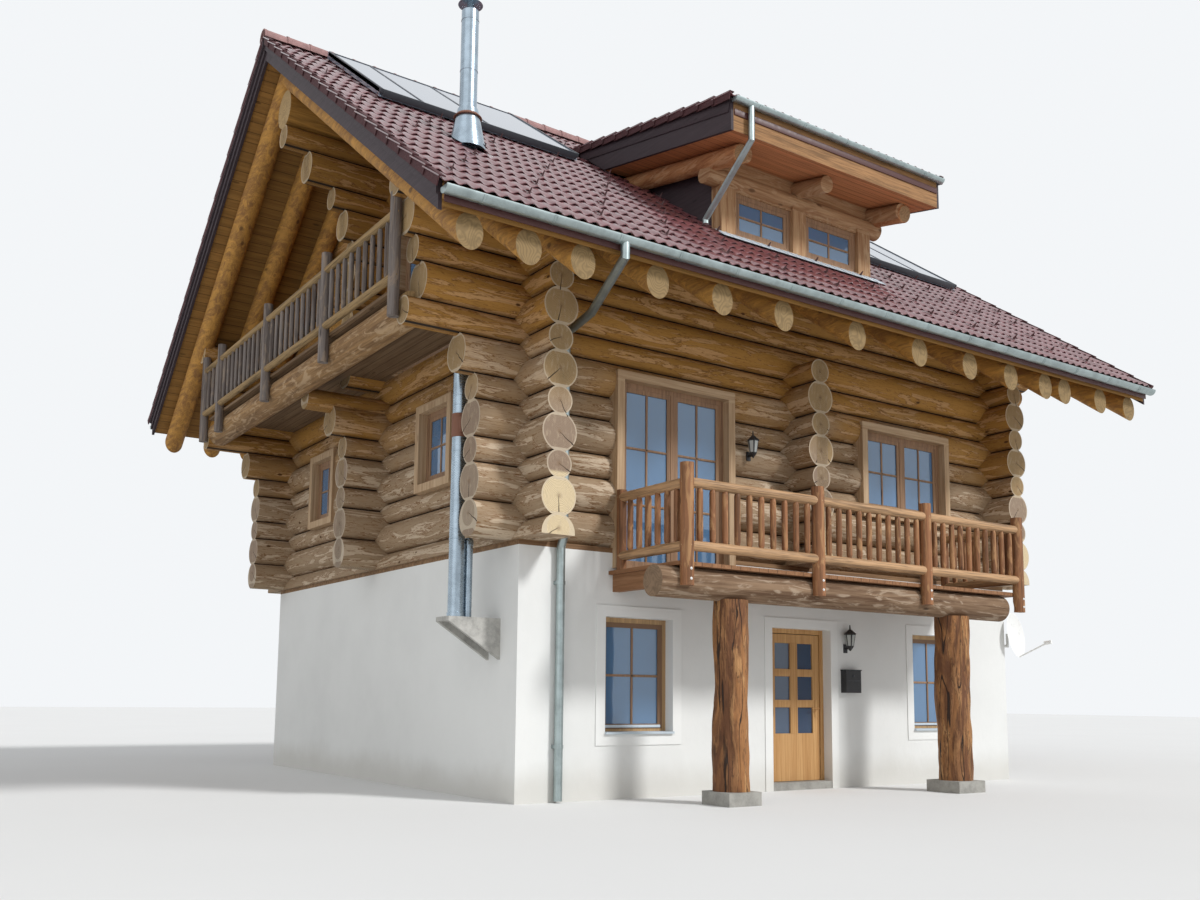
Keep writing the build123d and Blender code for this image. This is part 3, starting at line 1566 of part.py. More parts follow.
gable_rail_line = left + gable_rail_x
gable_post_cutters = [
    log_upright(gable_rail_line, front + place, 0, roof_top, gable_post_radius + log_fit)
    for place in gable_post_places
]
with BuildPart() as gable_deck:
    add(block(left + gable_deck_left, left - gable_deck_right,
              front + gable_deck_start, back - gable_deck_start,
              attic_level, attic_level + gable_deck_thickness))
    add(y_cutters[left_x][bearer_course + 1:bearer_course + 3], mode=Mode.SUBTRACT)
    add(middle_cutters[-1][bearer_course + 1], mode=Mode.SUBTRACT)
    add(log_upright(flue_x, flue_y, 0, roof_top, flue_radius + flue_clearance), mode=Mode.SUBTRACT)
    add(hole(gable_door_opening[0], gable_door_width, gable_door_height, casing_width, 0, casing_depth,
             False), mode=Mode.SUBTRACT)
    add(gable_post_cutters, mode=Mode.SUBTRACT)
gable_deck.part.label = "gable_deck"
export_step(gable_deck.part, "parts/gable_deck.step")

gable_posts = [
    scribe(log_upright(gable_rail_line, front + place, gable_post_foot, gable_post_top, gable_post_radius),
           [gable_beam_cutter, x_cutters[front_y][plate_course], x_cutters[back_y][plate_course]])
    for place in gable_post_places
]
gable_panels = [
    scribe(balustrade_panel((gable_rail_line, front + a), (gable_rail_line, front + b),
                            (gable_top_rail, gable_bottom_rail), gable_rail_radius, gable_baluster_radius,
                            gable_baluster_spacing), gable_post_cutters + [gable_beam_cutter])
    for a, b in zip(gable_post_places, gable_post_places[1:])
]
with BuildPart() as gable_balustrade:
    add(gable_posts + gable_panels)
gable_balustrade.part.label = "gable_balustrade"
export_step(gable_balustrade.part, "parts/gable_balustrade.step")

# Lanterns beside the doors, and the letterbox
def lantern(x, wall, foot):
    """A six-sided wall lantern with a pointed roof, on an arm from its wall plate."""
    axis = wall - lantern_axis_off_wall
    narrow, wide = lantern_cage_radii
    roof_wide, roof_narrow = lantern_roof_radii
    levels = (
        (foot, lantern_finial_radius / 2, foot + lantern_cage_foot, narrow),
        (foot + lantern_cage_foot, narrow, foot + lantern_cage_top, wide),
        (foot + lantern_cage_top, roof_wide, foot + lantern_roof_top, roof_narrow),
        (foot + lantern_roof_top, lantern_finial_radius, foot + lantern_height, lantern_finial_radius / 2),
    )
    with BuildPart() as lamp:
        for low, low_radius, high, high_radius in levels:
            with BuildPart():
                for level, radius in ((low, low_radius), (high, high_radius)):
                    with BuildSketch(Plane.XY.offset(level)):
                        with Locations((x, axis)):
                            RegularPolygon(radius, lantern_sides)
                loft()
        add(block(x - lantern_arm / 2, x + lantern_arm / 2, axis, wall,
                  foot + lantern_arm, foot + 2 * lantern_arm))
        add(block(x - lantern_plate_width / 2, x + lantern_plate_width / 2,
                  wall - lantern_plate_thickness, wall,
                  foot - lantern_arm, foot - lantern_arm + lantern_plate_height))
    return lamp.part


letterbox_x0 = left + letterbox_place
letterbox_x1 = letterbox_x0 + letterbox_width
letterbox_top = letterbox_foot + letterbox_height
with BuildPart() as letterbox:
    add(block(letterbox_x0, letterbox_x1, front - letterbox_depth, front, letterbox_foot, letterbox_top))
    add(block(letterbox_x0 - letterbox_lid_reach, letterbox_x1 + letterbox_lid_reach,
              front - letterbox_depth - letterbox_lid_reach, front,
              letterbox_top, letterbox_top + letterbox_lid))
wall_faces = (front, front_y - large_radius - contact_gap)
wall_fittings = as_group("wall_fittings", [letterbox.part] + [
    lantern(left + place, wall, foot) for place, wall, foot in zip(lantern_places, wall_faces, lantern_feet)
])
export_step(wall_fittings, "parts/wall_fittings.step")

# Satellite dish with its feed, on a bent tube
bearing = radians(dish_bearing)
tilt = radians(dish_tilt)
dish_plane = Plane(
    origin=(right + dish_off_wall, front + dish_place, dish_level), x_dir=(-sin(bearing), cos(bearing), 0),
    z_dir=(cos(bearing) * cos(tilt), sin(bearing) * cos(tilt), sin(tilt)),
)
dish_curve = (dish_radius ** 2 + dish_depth ** 2) / (2 * dish_depth)
dish_rim = (
    dish_plane.origin - dish_plane.y_dir * (dish_radius - feed_arm_radius) + dish_plane.z_dir * dish_depth
)
feed_place = dish_plane.origin + dish_plane.z_dir * feed_distance - Vector(0, 0, feed_drop)
mast_top = dish_plane.origin - dish_plane.z_dir * dish_neck
mast_foot = mast_top.Z - dish_mast_drop
neck_end = dish_plane.origin + dish_plane.z_dir * dish_sheet / 2
with BuildPart() as satellite_dish:
    with Locations(dish_plane):
        with Locations((0, 0, dish_curve)):
            Sphere(dish_curve)
            Sphere(dish_curve - dish_sheet, mode=Mode.SUBTRACT)
        Cylinder(dish_radius, 2 * dish_depth, mode=Mode.INTERSECT)
    with Locations(Plane(origin=feed_place, z_dir=dish_plane.z_dir)):
        Cylinder(feed_radius, feed_length)
    add(pipe([tuple(dish_rim), tuple(feed_place)], feed_arm_radius))
    add(pipe([tuple(mast_top), tuple(neck_end)], dish_neck_radius))
    add(pipe([
        (right, mast_top.Y, mast_foot), (mast_top.X, mast_top.Y, mast_foot),
        (mast_top.X, mast_top.Y, mast_top.Z + dish_mast_rise),
    ], dish_mast_radius))
    add(block(right, right + dish_plate_thickness, mast_top.Y - dish_plate / 2, mast_top.Y + dish_plate / 2,
              mast_foot - dish_plate / 2, mast_foot + dish_plate / 2))
satellite_dish.part.label = "satellite_dish"
export_step(satellite_dish.part, "parts/satellite_dish.step")
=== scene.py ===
"""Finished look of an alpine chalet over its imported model. Lengths are metres, +Z is up."""

from math import cos, pi, radians, sin, tan

import bmesh
import bpy
from mathutils import Matrix, Vector, noise


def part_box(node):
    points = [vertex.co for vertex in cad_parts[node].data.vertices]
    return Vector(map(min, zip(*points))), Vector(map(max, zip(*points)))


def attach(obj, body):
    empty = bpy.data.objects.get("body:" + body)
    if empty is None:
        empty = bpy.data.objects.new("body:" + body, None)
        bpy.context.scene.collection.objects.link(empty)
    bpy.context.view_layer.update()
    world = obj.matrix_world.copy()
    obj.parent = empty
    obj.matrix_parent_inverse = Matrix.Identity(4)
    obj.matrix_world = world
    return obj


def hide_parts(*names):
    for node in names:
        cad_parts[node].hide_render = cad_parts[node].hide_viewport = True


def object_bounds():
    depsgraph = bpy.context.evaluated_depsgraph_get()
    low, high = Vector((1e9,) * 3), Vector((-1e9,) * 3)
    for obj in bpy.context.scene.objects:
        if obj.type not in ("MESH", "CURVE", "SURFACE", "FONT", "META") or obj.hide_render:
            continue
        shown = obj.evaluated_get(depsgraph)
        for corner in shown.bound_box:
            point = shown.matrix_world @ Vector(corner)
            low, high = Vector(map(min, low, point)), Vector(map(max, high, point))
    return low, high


bl_info = {
    "name": "Alpine Chalet",
    "version": (1, 0, 0),
    "blender": (4, 5, 0),
    "location": "View3D > Sidebar > Chalet",
    "description": "Tiles, timber, metal and plaster finishes of a log chalet",
    "category": "Add Mesh",
}

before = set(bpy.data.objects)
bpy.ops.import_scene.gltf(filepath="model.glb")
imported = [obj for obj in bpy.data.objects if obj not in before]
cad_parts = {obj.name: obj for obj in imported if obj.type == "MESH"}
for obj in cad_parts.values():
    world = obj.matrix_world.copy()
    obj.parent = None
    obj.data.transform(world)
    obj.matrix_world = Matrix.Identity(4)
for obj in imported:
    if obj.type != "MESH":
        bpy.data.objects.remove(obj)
cad_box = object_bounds()

# Places read from the model
roof_low, roof_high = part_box("front_roof_tiles")
dormer_low, dormer_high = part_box("dormer_tiles")
dormer_roof_low, dormer_roof_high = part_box("dormer_roof")
gutter_low, gutter_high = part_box("gutters")

# Log courses
course_pitch = 0.361
log_courses_x = 3.56
log_courses_y = 3.369
front_wall_axis = 3.88
side_wall_axis = 4.18
cross_wall_axis = -0.02
groove_height = 0.2143
groove_offset = 0.0686
large_log = 0.225
small_log = 0.162

# Roof
roof_slope = tan(radians(37.0))
dormer_slope = tan(radians(11.9))
ridge_height = roof_high.z
dormer_eave_height = dormer_high.z - (dormer_high.y - dormer_low.y) * dormer_slope
tile_depth = 0.06
tile_lap = 0.045
ridge_tile_radius = 0.125
dormer_opening = (-1.45, 1.37, -4.17, -1.335)
flue_opening = (-5.0, -4.7, -3.66, -3.35)
over_ridge = (-20.0, 20.0, -0.035, 20.0)
collectors = ((-5.45, -2.45, -2.20, -0.25), (2.15, 4.95, -2.85, -0.95))
collector_joints = ((-4.84, -3.88), (3.08, 4.02))
collector_height = 0.09
gutter_radius = 0.075
dormer_gutter_radius = 0.06

# Flue
flue_axis = (-4.85, -3.505)
flue_radius = 0.09
flue_head_radius = 0.105
flue_foot = 2.06
flue_ring_levels = (2.945, 3.055, 3.965, 4.505, 4.615)
flue_head_ring_levels = (8.62, 9.27)
flue_cleanout_level = 4.13
flue_collar_level = 8.03

# Balcony, door and fittings
support_top = 2.285
support_rings = 44
support_sides = 40
balcony_post_places = (-3.04, -1.04, 0.89, 2.80)
balcony_post_front = -5.508
bolt_levels = (2.46, 2.57)
door_thickness = 0.068
door_bar = 0.034
lanterns = ((0.84, -4.145, 1.835), (-0.956, -4.2, 4.281))
letterbox_front = (0.892, -4.158, 1.50)
letterbox_slot_level = 1.43


class ChaletSizes(bpy.types.PropertyGroup):
    """Sizes of the pieces that repeat."""

    wave_width: bpy.props.FloatProperty(
        name="Tile wave", description="Width of one wave of a roof tile",
        default=0.1478, subtype="DISTANCE",
    )
    tile_gauge: bpy.props.FloatProperty(
        name="Tile gauge", description="Level distance between two rows of tiles",
        default=0.306, subtype="DISTANCE",
    )
    tile_thickness: bpy.props.FloatProperty(
        name="Tile thickness", description="Thickness of a roof tile",
        default=0.014, subtype="DISTANCE",
    )
    wave_height: bpy.props.FloatProperty(
        name="Wave height", description="Height of a tile's wave",
        default=0.03, subtype="DISTANCE",
    )
    ridge_tile_length: bpy.props.FloatProperty(
        name="Ridge tile", description="Length of a ridge tile that shows",
        default=0.33, subtype="DISTANCE",
    )
    ring_spacing: bpy.props.FloatProperty(
        name="Gutter rings", description="Distance between two gutter brackets",
        default=0.8, subtype="DISTANCE",
    )
    bar_width: bpy.props.FloatProperty(
        name="Window bar", description="Face width of a window bar",
        default=0.028, subtype="DISTANCE",
    )


class ChaletColours(bpy.types.PropertyGroup):
    """Colours of the finishes."""

    log_gold: bpy.props.FloatVectorProperty(
        name="Log, sheltered", description="Golden wood of the sheltered logs",
        default=(0.42, 0.215, 0.048), size=3, subtype="COLOR",
    )
    log_grey: bpy.props.FloatVectorProperty(
        name="Log, weathered", description="Tan wood of the logs in the weather",
        default=(0.37, 0.265, 0.165), size=3, subtype="COLOR",
    )
    log_bast: bpy.props.FloatVectorProperty(
        name="Bast", description="Brown bast left on the peeled logs",
        default=(0.17, 0.072, 0.018), size=3, subtype="COLOR",
    )
    log_end: bpy.props.FloatVectorProperty(
        name="Log end", description="Sawn ends of the logs",
        default=(0.44, 0.30, 0.145), size=3, subtype="COLOR",
    )
    plaster: bpy.props.FloatVectorProperty(
        name="Plaster", description="Whitewashed plaster",
        default=(0.76, 0.765, 0.745), size=3, subtype="COLOR",
    )
    tile: bpy.props.FloatVectorProperty(
        name="Tile", description="Glazed roof tiles",
        default=(0.185, 0.062, 0.07), size=3, subtype="COLOR",
    )
    balcony: bpy.props.FloatVectorProperty(
        name="Balcony wood", description="Oiled wood of the front balcony",
        default=(0.26, 0.115, 0.05), size=3, subtype="COLOR",
    )
    verge: bpy.props.FloatVectorProperty(
        name="Verge boards", description="Dark boards along the verges",
        default=(0.05, 0.034, 0.04), size=3, subtype="COLOR",
    )
    joinery: bpy.props.FloatVectorProperty(
        name="Joinery", description="Window and door frames",
        default=(0.36, 0.215, 0.125), size=3, subtype="COLOR",
    )


class Tree:
    """Adds nodes to the tree of a material or of a repeated piece, and joins them."""

    def __init__(self, tree):
        self.tree = tree

    def add(self, kind, **settings):
        node = self.tree.nodes.new(kind)
        for name, value in settings.items():
            setattr(node, name, value)
        return node

    def feed(self, socket, value):
        if isinstance(value, bpy.types.NodeSocket):
            self.tree.links.new(value, socket)
        elif value is not None:
            socket.default_value = value

    def run(self, kind, inputs, output=0, **settings):
        """A node with its inputs given by name or number; returns one of its outputs."""
        node = self.add(kind, **settings)
        for key, value in inputs.items():
            self.feed(node.inputs[key], value)
        return node.outputs[output]

    def split(self, vector):
        node = self.add("ShaderNodeSeparateXYZ")
        self.feed(node.inputs[0], vector)
        return tuple(node.outputs)

    def join(self, x=0.0, y=0.0, z=0.0):
        return self.run("ShaderNodeCombineXYZ", {0: x, 1: y, 2: z})

    def calc(self, operation, *values):
        return self.run("ShaderNodeMath", dict(enumerate(values)), operation=operation)

    def times(self, first, second):
        return self.calc("MULTIPLY", first, second)

    def less(self, first, second):
        return self.calc("SUBTRACT", first, second)

    def over(self, first, second):
        return self.calc("DIVIDE", first, second)

    def absolute(self, value):
        return self.calc("ABSOLUTE", value)

    def apart(self, first, second):
        return self.absolute(self.less(first, second))

    def sum(self, *values):
        total = values[0]
        for value in values[1:]:
            total = self.calc("ADD", total, value)
        return total

    def vector_calc(self, operation, first, second):
        return self.run("ShaderNodeVectorMath", {0: first, 1: second}, operation=operation)

    def stretch(self, vector, scales):
        return self.vector_calc("MULTIPLY", vector, scales)

    def length(self, x, y):
        return self.run("ShaderNodeVectorMath", {0: self.join(x, y, 0.0)}, "Value", operation="LENGTH")

    def noise(self, vector, scale, detail=3.0, roughness=0.55, distortion=0.0):
        return self.run("ShaderNodeTexNoise", {
            "Vector": vector, "Scale": scale, "Detail": detail, "Roughness": roughness,
            "Distortion": distortion,
        })

    def drawn_noise(self, vector, scales, detail=3.0, roughness=0.55, distortion=0.0):
        """Noise with a scale of its own along X, Y and Z."""
        return self.noise(self.stretch(vector, scales), 1.0, detail, roughness, distortion)

    def cells(self, vector):
        """Distance to the nearest of scattered points, for knots."""
        return self.run("ShaderNodeTexVoronoi", {
            "Vector": vector, "Scale": 1.0, "Randomness": 1.0,
        }, "Distance")

    def chance(self, vector):
        """A value from 0 to 1 that stays the same for the same vector."""
        return self.run("ShaderNodeTexWhiteNoise", {"Vector": vector}, noise_dimensions="3D")

    def smooth(self, value, low, high):
        """0 below low, 1 above high, soft between; falls if low is the larger."""
        start, end = (0.0, 1.0) if low < high else (1.0, 0.0)
        return self.run("ShaderNodeMapRange", {
            "Value": value, "From Min": min(low, high), "From Max": max(low, high),
            "To Min": start, "To Max": end,
        }, interpolation_type="SMOOTHSTEP")

    def mix(self, share, first, second):
        node = self.add("ShaderNodeMix", data_type="RGBA", blend_type="MIX")
        for number, value in ((0, share), (6, first), (7, second)):
            if isinstance(value, tuple) and len(value) == 3:
                value = (*value, 1.0)
            self.feed(node.inputs[number], value)
        return node.outputs[2]

    def lay(self, colour, other, share, strength):
        """Another colour over a colour, where the share is, and no stronger than the strength."""
        return self.mix(self.times(share, strength), colour, other)


finishes = {}


class Finish(Tree):
    """A procedural material that reads object coordinates, kept under its name."""

    def __init__(self, name, roughness, uniform=()):
        material = bpy.data.materials.new(name)
        material.use_nodes = True
        finishes[name] = material
        super().__init__(material.node_tree)
        self.shader = self.tree.nodes["Principled BSDF"]
        self.place = self.add("ShaderNodeTexCoord").outputs["Object"]
        self.x, self.y, self.z = self.split(self.place)
        normal = self.add("ShaderNodeNewGeometry").outputs["Normal"]
        self.normal_x, self.normal_y, self.normal_z = self.split(normal)
        self.shader.inputs["Roughness"].default_value = roughness
        for key, value in uniform:
            self.shader.inputs[key].default_value = value

    def colour(self, value):
        self.feed(self.shader.inputs["Base Color"], value)

    def roughness(self, pattern, share, base):
        """A base roughness, raised by a share of a pattern."""
        self.feed(self.shader.inputs["Roughness"], self.sum(self.times(pattern, share), base))

    def bump(self, height, distance, strength=1.0):
        """Raises the surface by the height pattern; distance in metres."""
        previous = self.shader.inputs["Normal"]
        before = previous.links[0].from_socket if previous.links else None
        self.feed(previous, self.run("ShaderNodeBump", {
            "Height": height, "Distance": distance, "Strength": strength, "Normal": before,
        }))

    def axis(self, letter):
        return {"X": self.x, "Y": self.y, "Z": self.z}[letter]

    def axis_normal(self, letter):
        return self.absolute({"X": self.normal_x, "Y": self.normal_y, "Z": self.normal_z}[letter])

    def on_end(self, along):
        """One where the surface looks along an axis, as the end of a log or board does."""
        return self.smooth(self.axis_normal(along), 0.86, 0.92)


def shade(colour, factor):
    """The same colour, lighter or darker."""
    return tuple(channel * factor for channel in colour)


def grain_scales(along, lengthwise, across):
    """Scales that draw a pattern out along one axis."""
    return tuple(lengthwise if letter == along else across for letter in "XYZ")


dull = (("Specular IOR Level", 0.28),)
middle_of_house = (-0.1, 0.1)
rail_reach = (0.014, 0.005)
rail_squareness = (0.12, 0.05)


def on_rail(finish, height, radius):
    """One on the round of a level rail of a height and radius, nought elsewhere."""
    rise = finish.less(finish.z, height)
    round_of_rail = finish.smooth(finish.apart(rise, finish.times(finish.normal_z, radius)), *rail_reach)
    squared = finish.calc("MINIMUM", finish.axis_normal("X"), finish.axis_normal("Y"))
    return finish.times(round_of_rail, finish.smooth(squared, *rail_squareness))


def wood_colour(finish, along, pale, dark, across=14.0, level=(), level_above=None, fleck=None):
    """Streaky grain with knots and flecks, level on rails of a height and radius and above a height."""
    streak_edge = (0.38, 0.72)
    fleck_edge = (0.50, 0.64)
    knot_edge = (0.10, 0.05)
    blur = 0.004

    def drawn(lengthwise, crosswise):
        vector = finish.stretch(finish.place, grain_scales(along, lengthwise, crosswise))
        level_vector = finish.stretch(finish.place, (lengthwise, lengthwise, crosswise))
        for height, radius in level:
            vector = finish.mix(on_rail(finish, height, radius), vector, level_vector)
        if level_above:
            upper = finish.smooth(finish.z, level_above - blur, level_above + blur)
            vector = finish.mix(upper, vector, level_vector)
        return vector

    broad = finish.noise(drawn(0.5, across), 1.0, 4.0, 0.6, 1.2)
    fibre = finish.noise(drawn(3.0, 9 * across), 1.0, 3.0, 0.6, 0.3)
    streaks = finish.sum(finish.times(broad, 0.75), finish.times(fibre, 0.35))
    colour = finish.mix(finish.smooth(streaks, *streak_edge), pale, dark)
    if fleck:
        spots = finish.noise(drawn(2.0, 10.0), 1.0, 4.0, 0.65, 1.4)
        colour = finish.lay(colour, fleck, finish.smooth(spots, *fleck_edge), 0.65)
    knots = finish.smooth(finish.cells(drawn(1.3, 0.35 * across)), *knot_edge)
    return finish.lay(colour, shade(dark, 0.45), knots, 0.8), fibre, broad


def second_tone(finish, broad, fibre, tone, factor):
    """A tone of its own for rails, and for faces a darker tone that is partly painted shade; darker where
    the grain is dense.
    """
    return finish.mix(finish.smooth(finish.sum(broad, fibre), 0.8, 1.25), tone, shade(tone, factor))


def peeled_colour(finish, vector, along, base, patch, line):
    """Peeled wood: pale patches edged with thin brown lines of bast, over fine fibres."""
    patch_edge = (0.50, 0.56)
    figure = finish.drawn_noise(vector, grain_scales(along, 1.1, 9.0), 5.0, 0.62, 1.2)
    fibre = finish.drawn_noise(vector, grain_scales(along, 4.0, 75.0), 4.0, 0.65, 0.5)
    flecks = finish.drawn_noise(vector, grain_scales(along, 6.0, 30.0), 4.0, 0.7, 2.0)
    colour = finish.mix(finish.smooth(figure, *patch_edge), base, patch)
    edge = finish.smooth(finish.apart(figure, sum(patch_edge) / 2), 0.035, 0.006)
    edge = finish.times(edge, finish.smooth(flecks, 0.40, 0.56))
    colour = finish.lay(colour, line, edge, 0.85)
    colour = finish.lay(colour, line, finish.smooth(flecks, 0.56, 0.66), 0.6)
    colour = finish.lay(colour, line, finish.smooth(fibre, 0.45, 0.7), 0.35)
    return colour, figure, fibre


def log_side(finish, colours, along, tint, side):
    """The round of each log: golden under the roof, weathered below, with knots."""
    weathering = (6.6, 5.5)
    pale_gold, pale_grey = (0.51, 0.295, 0.12), (0.53, 0.42, 0.30)
    gold, grey, bast = tuple(colours.log_gold), tuple(colours.log_grey), tuple(colours.log_bast)
    shift = finish.join(finish.times(tint, 7.0), side, finish.times(tint, 3.0))
    shifted = finish.vector_calc("ADD", finish.place, shift)
    cloud = finish.noise(finish.place, 0.9, 3.0)
    height = finish.sum(
        finish.z, finish.times(cloud, 1.8), finish.times(finish.normal_z, -0.25), finish.times(tint, 0.5)
    )
    weathered = finish.smooth(height, *weathering)
    sheltered_wood = finish.mix(tint, gold, shade(gold, 0.8))
    weathered_wood = finish.mix(tint, grey, shade(grey, 0.85))
    base = finish.mix(weathered, sheltered_wood, weathered_wood)
    patch = finish.mix(weathered, pale_gold, pale_grey)
    colour, figure, fibre = peeled_colour(finish, shifted, along, base, patch, bast)
    knots = finish.cells(finish.stretch(shifted, grain_scales(along, 1.7, 3.6)))
    colour = finish.mix(finish.smooth(knots, 0.085, 0.05), colour, shade(bast, 0.5))
    return colour, figure, fibre, knots


def caulk_and_groove_shade(finish, colour, bast, first_large, offset):
    """A near-black line in the grooves between a large and a small log, standing for caulk and painted
    shade, with painted shade round it.
    """
    caulk_and_shade = (0.02, 0.014, 0.01)
    groove_shade_reach = (0.08, 0.015)
    caulk_and_shade_reach = (0.024, 0.011)
    pair = 2 * course_pitch
    rise = finish.less(finish.z, first_large)
    nearest = finish.times(finish.calc("ROUND", finish.over(rise, pair)), pair)
    above_groove = finish.less(finish.apart(rise, nearest), groove_height)
    beside_groove = finish.less(finish.absolute(offset), groove_offset)
    groove = finish.length(above_groove, beside_groove)
    # Painted shade round each groove, where the logs shade each other.
    colour = finish.lay(colour, shade(bast, 0.7), finish.smooth(groove, *groove_shade_reach), 0.55)
    # The near-black line in the groove is caulk and painted shade at once.
    return finish.mix(finish.smooth(groove, *caulk_and_shade_reach), colour, caulk_and_shade)


def drying_crack(finish, tint, offset, above):
    """One crack out from the heart of a log's end, turned by the end's own tint."""
    crack_width = (0.004, 0.001)
    taper = 0.022
    angle = finish.sum(finish.times(tint, 2.4), -2.8)
    along_x, along_z = finish.calc("COSINE", angle), finish.calc("SINE", angle)
    out = finish.sum(finish.times(offset, along_x), finish.times(above, along_z))
    off_line = finish.less(finish.times(offset, along_z), finish.times(above, along_x))
    wander = finish.times(finish.less(finish.noise(finish.place, 9.0, 1.0), 0.5), 0.03)
    gap = finish.less(finish.absolute(finish.sum(off_line, wander)), finish.times(out, taper))
    return finish.times(finish.smooth(gap, *crack_width), finish.smooth(out, -0.01, 0.01))


def log_ends(finish, colours, along, course, side, offset, above, swapped):
    """Sawn ends with year rings, saw marks, a pale rim and a drying crack."""
    ring_density = 380.0
    ageing = (5.3, 4.6)
    aged_dark, aged_pale = (0.27, 0.195, 0.14), (0.36, 0.29, 0.215)
    fresh_below, fresh_before, fresh_wood = (3.66, 3.62), (-4.0, -4.1), (0.70, 0.57, 0.36)
    ring_brown, heart_brown = (0.20, 0.12, 0.06), (0.19, 0.11, 0.055)
    saw_mark, rim, crack_brown = (0.50, 0.40, 0.28), (0.58, 0.49, 0.37), (0.035, 0.02, 0.012)

    from_heart = finish.length(offset, above)
    radius = finish.sum(from_heart, finish.times(finish.noise(finish.place, 7.0, 2.0), 0.05))
    end_side = finish.smooth(finish.axis(along), *middle_of_house)
    tint = finish.chance(finish.join(course, side, finish.sum(end_side, 9.0)))
    tan_end = finish.mix(tint, tuple(colours.log_end), shade(colours.log_end, 0.72))
    aged = finish.smooth(finish.sum(finish.z, finish.times(tint, 1.4)), *ageing)
    colour = finish.mix(aged, tan_end, finish.mix(tint, aged_dark, aged_pale))
    if along == "Y":
        fresh = finish.times(finish.smooth(finish.z, *fresh_below), finish.smooth(finish.y, *fresh_before))
        colour = finish.mix(fresh, colour, fresh_wood)
    ring = finish.smooth(finish.calc("SINE", finish.times(radius, ring_density)), -0.3, 1.0)
    colour = finish.lay(colour, ring_brown, ring, 0.42)
    colour = finish.lay(colour, heart_brown, finish.smooth(radius, 0.075, 0.02), 0.55)
    saw = finish.drawn_noise(finish.place, (26.0, 26.0, 9.0), 4.0, 0.65)
    colour = finish.lay(colour, saw_mark, finish.smooth(saw, 0.5, 0.7), 0.4)
    small = finish.calc("PINGPONG", finish.sum(course, 1.0 if swapped else 0.0), 1.0)
    edge = finish.less(large_log, finish.times(small, large_log - small_log))
    colour = finish.lay(colour, rim, finish.smooth(finish.less(edge, from_heart), 0.02, 0.012), 0.6)
    return finish.mix(drying_crack(finish, tint, offset, above), colour, crack_brown)


def log_finish(name, colours, along, first_course, axis, mirrored, swapped=False):
    """Peeled round logs in courses, with caulk and painted shade in the grooves between them and ringed
    sawn ends.
    """
    finish = Finish(name, 0.75, dull)
    cross = finish.axis("Y" if along == "X" else "X")
    side = finish.smooth(cross, *middle_of_house)
    offset = finish.less(finish.absolute(cross) if mirrored else cross, axis)
    rise = finish.less(finish.z, first_course)
    course = finish.calc("ROUND", finish.over(rise, course_pitch))
    above = finish.less(rise, finish.times(course, course_pitch))
    tint = finish.chance(finish.join(course, side, 3.0))
    colour, figure, fibre, knots = log_side(finish, colours, along, tint, side)
    first_large = first_course + (course_pitch if swapped else 0.0)
    colour = caulk_and_groove_shade(finish, colour, tuple(colours.log_bast), first_large, offset)
    end_colour = log_ends(finish, colours, along, course, side, offset, above, swapped)
    finish.colour(finish.mix(finish.on_end(along), colour, end_colour))
    finish.roughness(fibre, 0.25, 0.6)
    relief = finish.sum(finish.times(figure, 0.7), finish.times(fibre, 0.25), finish.times(knots, 0.3))
    finish.bump(relief, 0.025, 0.6)


def board_end_colour(finish, tone):
    """Ringed and stained ends of beams and rafters."""
    contour = finish.noise(finish.place, 3.6, 1.0)
    ring = finish.smooth(finish.calc("SINE", finish.times(contour, 110.0)), -0.5, 1.0)
    stain = finish.smooth(finish.noise(finish.place, 9.0, 3.0), 0.5, 0.7)
    colour = finish.lay(tone, shade(tone, 0.5), ring, 0.45)
    return finish.lay(colour, shade(tone, 0.6), stain, 0.6)


def plank_finish(
    name, along, pale, dark, board=0.0, board_axis="Z", roughness=0.72, across=14.0, ends=None, level=(),
    level_above=None, fleck=None, rail=None,
):
    """Planed or weathered boards, with a joint every board width; rails can have a tone of their own."""
    finish = Finish(name, roughness, dull)
    colour, fibre, broad = wood_colour(finish, along, pale, dark, across, level, level_above, fleck)
    if rail:
        rail_colour = second_tone(finish, broad, fibre, rail, 0.4)
        for height, radius in level:
            colour = finish.mix(on_rail(finish, height, radius), colour, rail_colour)
    if board:
        joint_foot, joint_edge = 0.0015, 0.004
        place = finish.over(finish.axis(board_axis), board)
        tint = finish.chance(finish.join(finish.calc("FLOOR", place), 1.0, 2.0))
        colour = finish.lay(colour, dark, tint, 0.35)
        joint = finish.apart(finish.calc("FRACT", place), 0.5)
        gap = finish.smooth(joint, 0.5 - joint_edge / board, 0.5 - joint_foot / board)
        colour = finish.mix(gap, colour, shade(dark, 0.25))
        finish.bump(finish.less(1.0, gap), 0.004)
    if ends:
        colour = finish.mix(finish.on_end(along), colour, board_end_colour(finish, ends))
    finish.colour(colour)
    finish.roughness(fibre, 0.25, roughness - 0.12)
    finish.bump(finish.sum(broad, fibre), 0.006, 0.35)


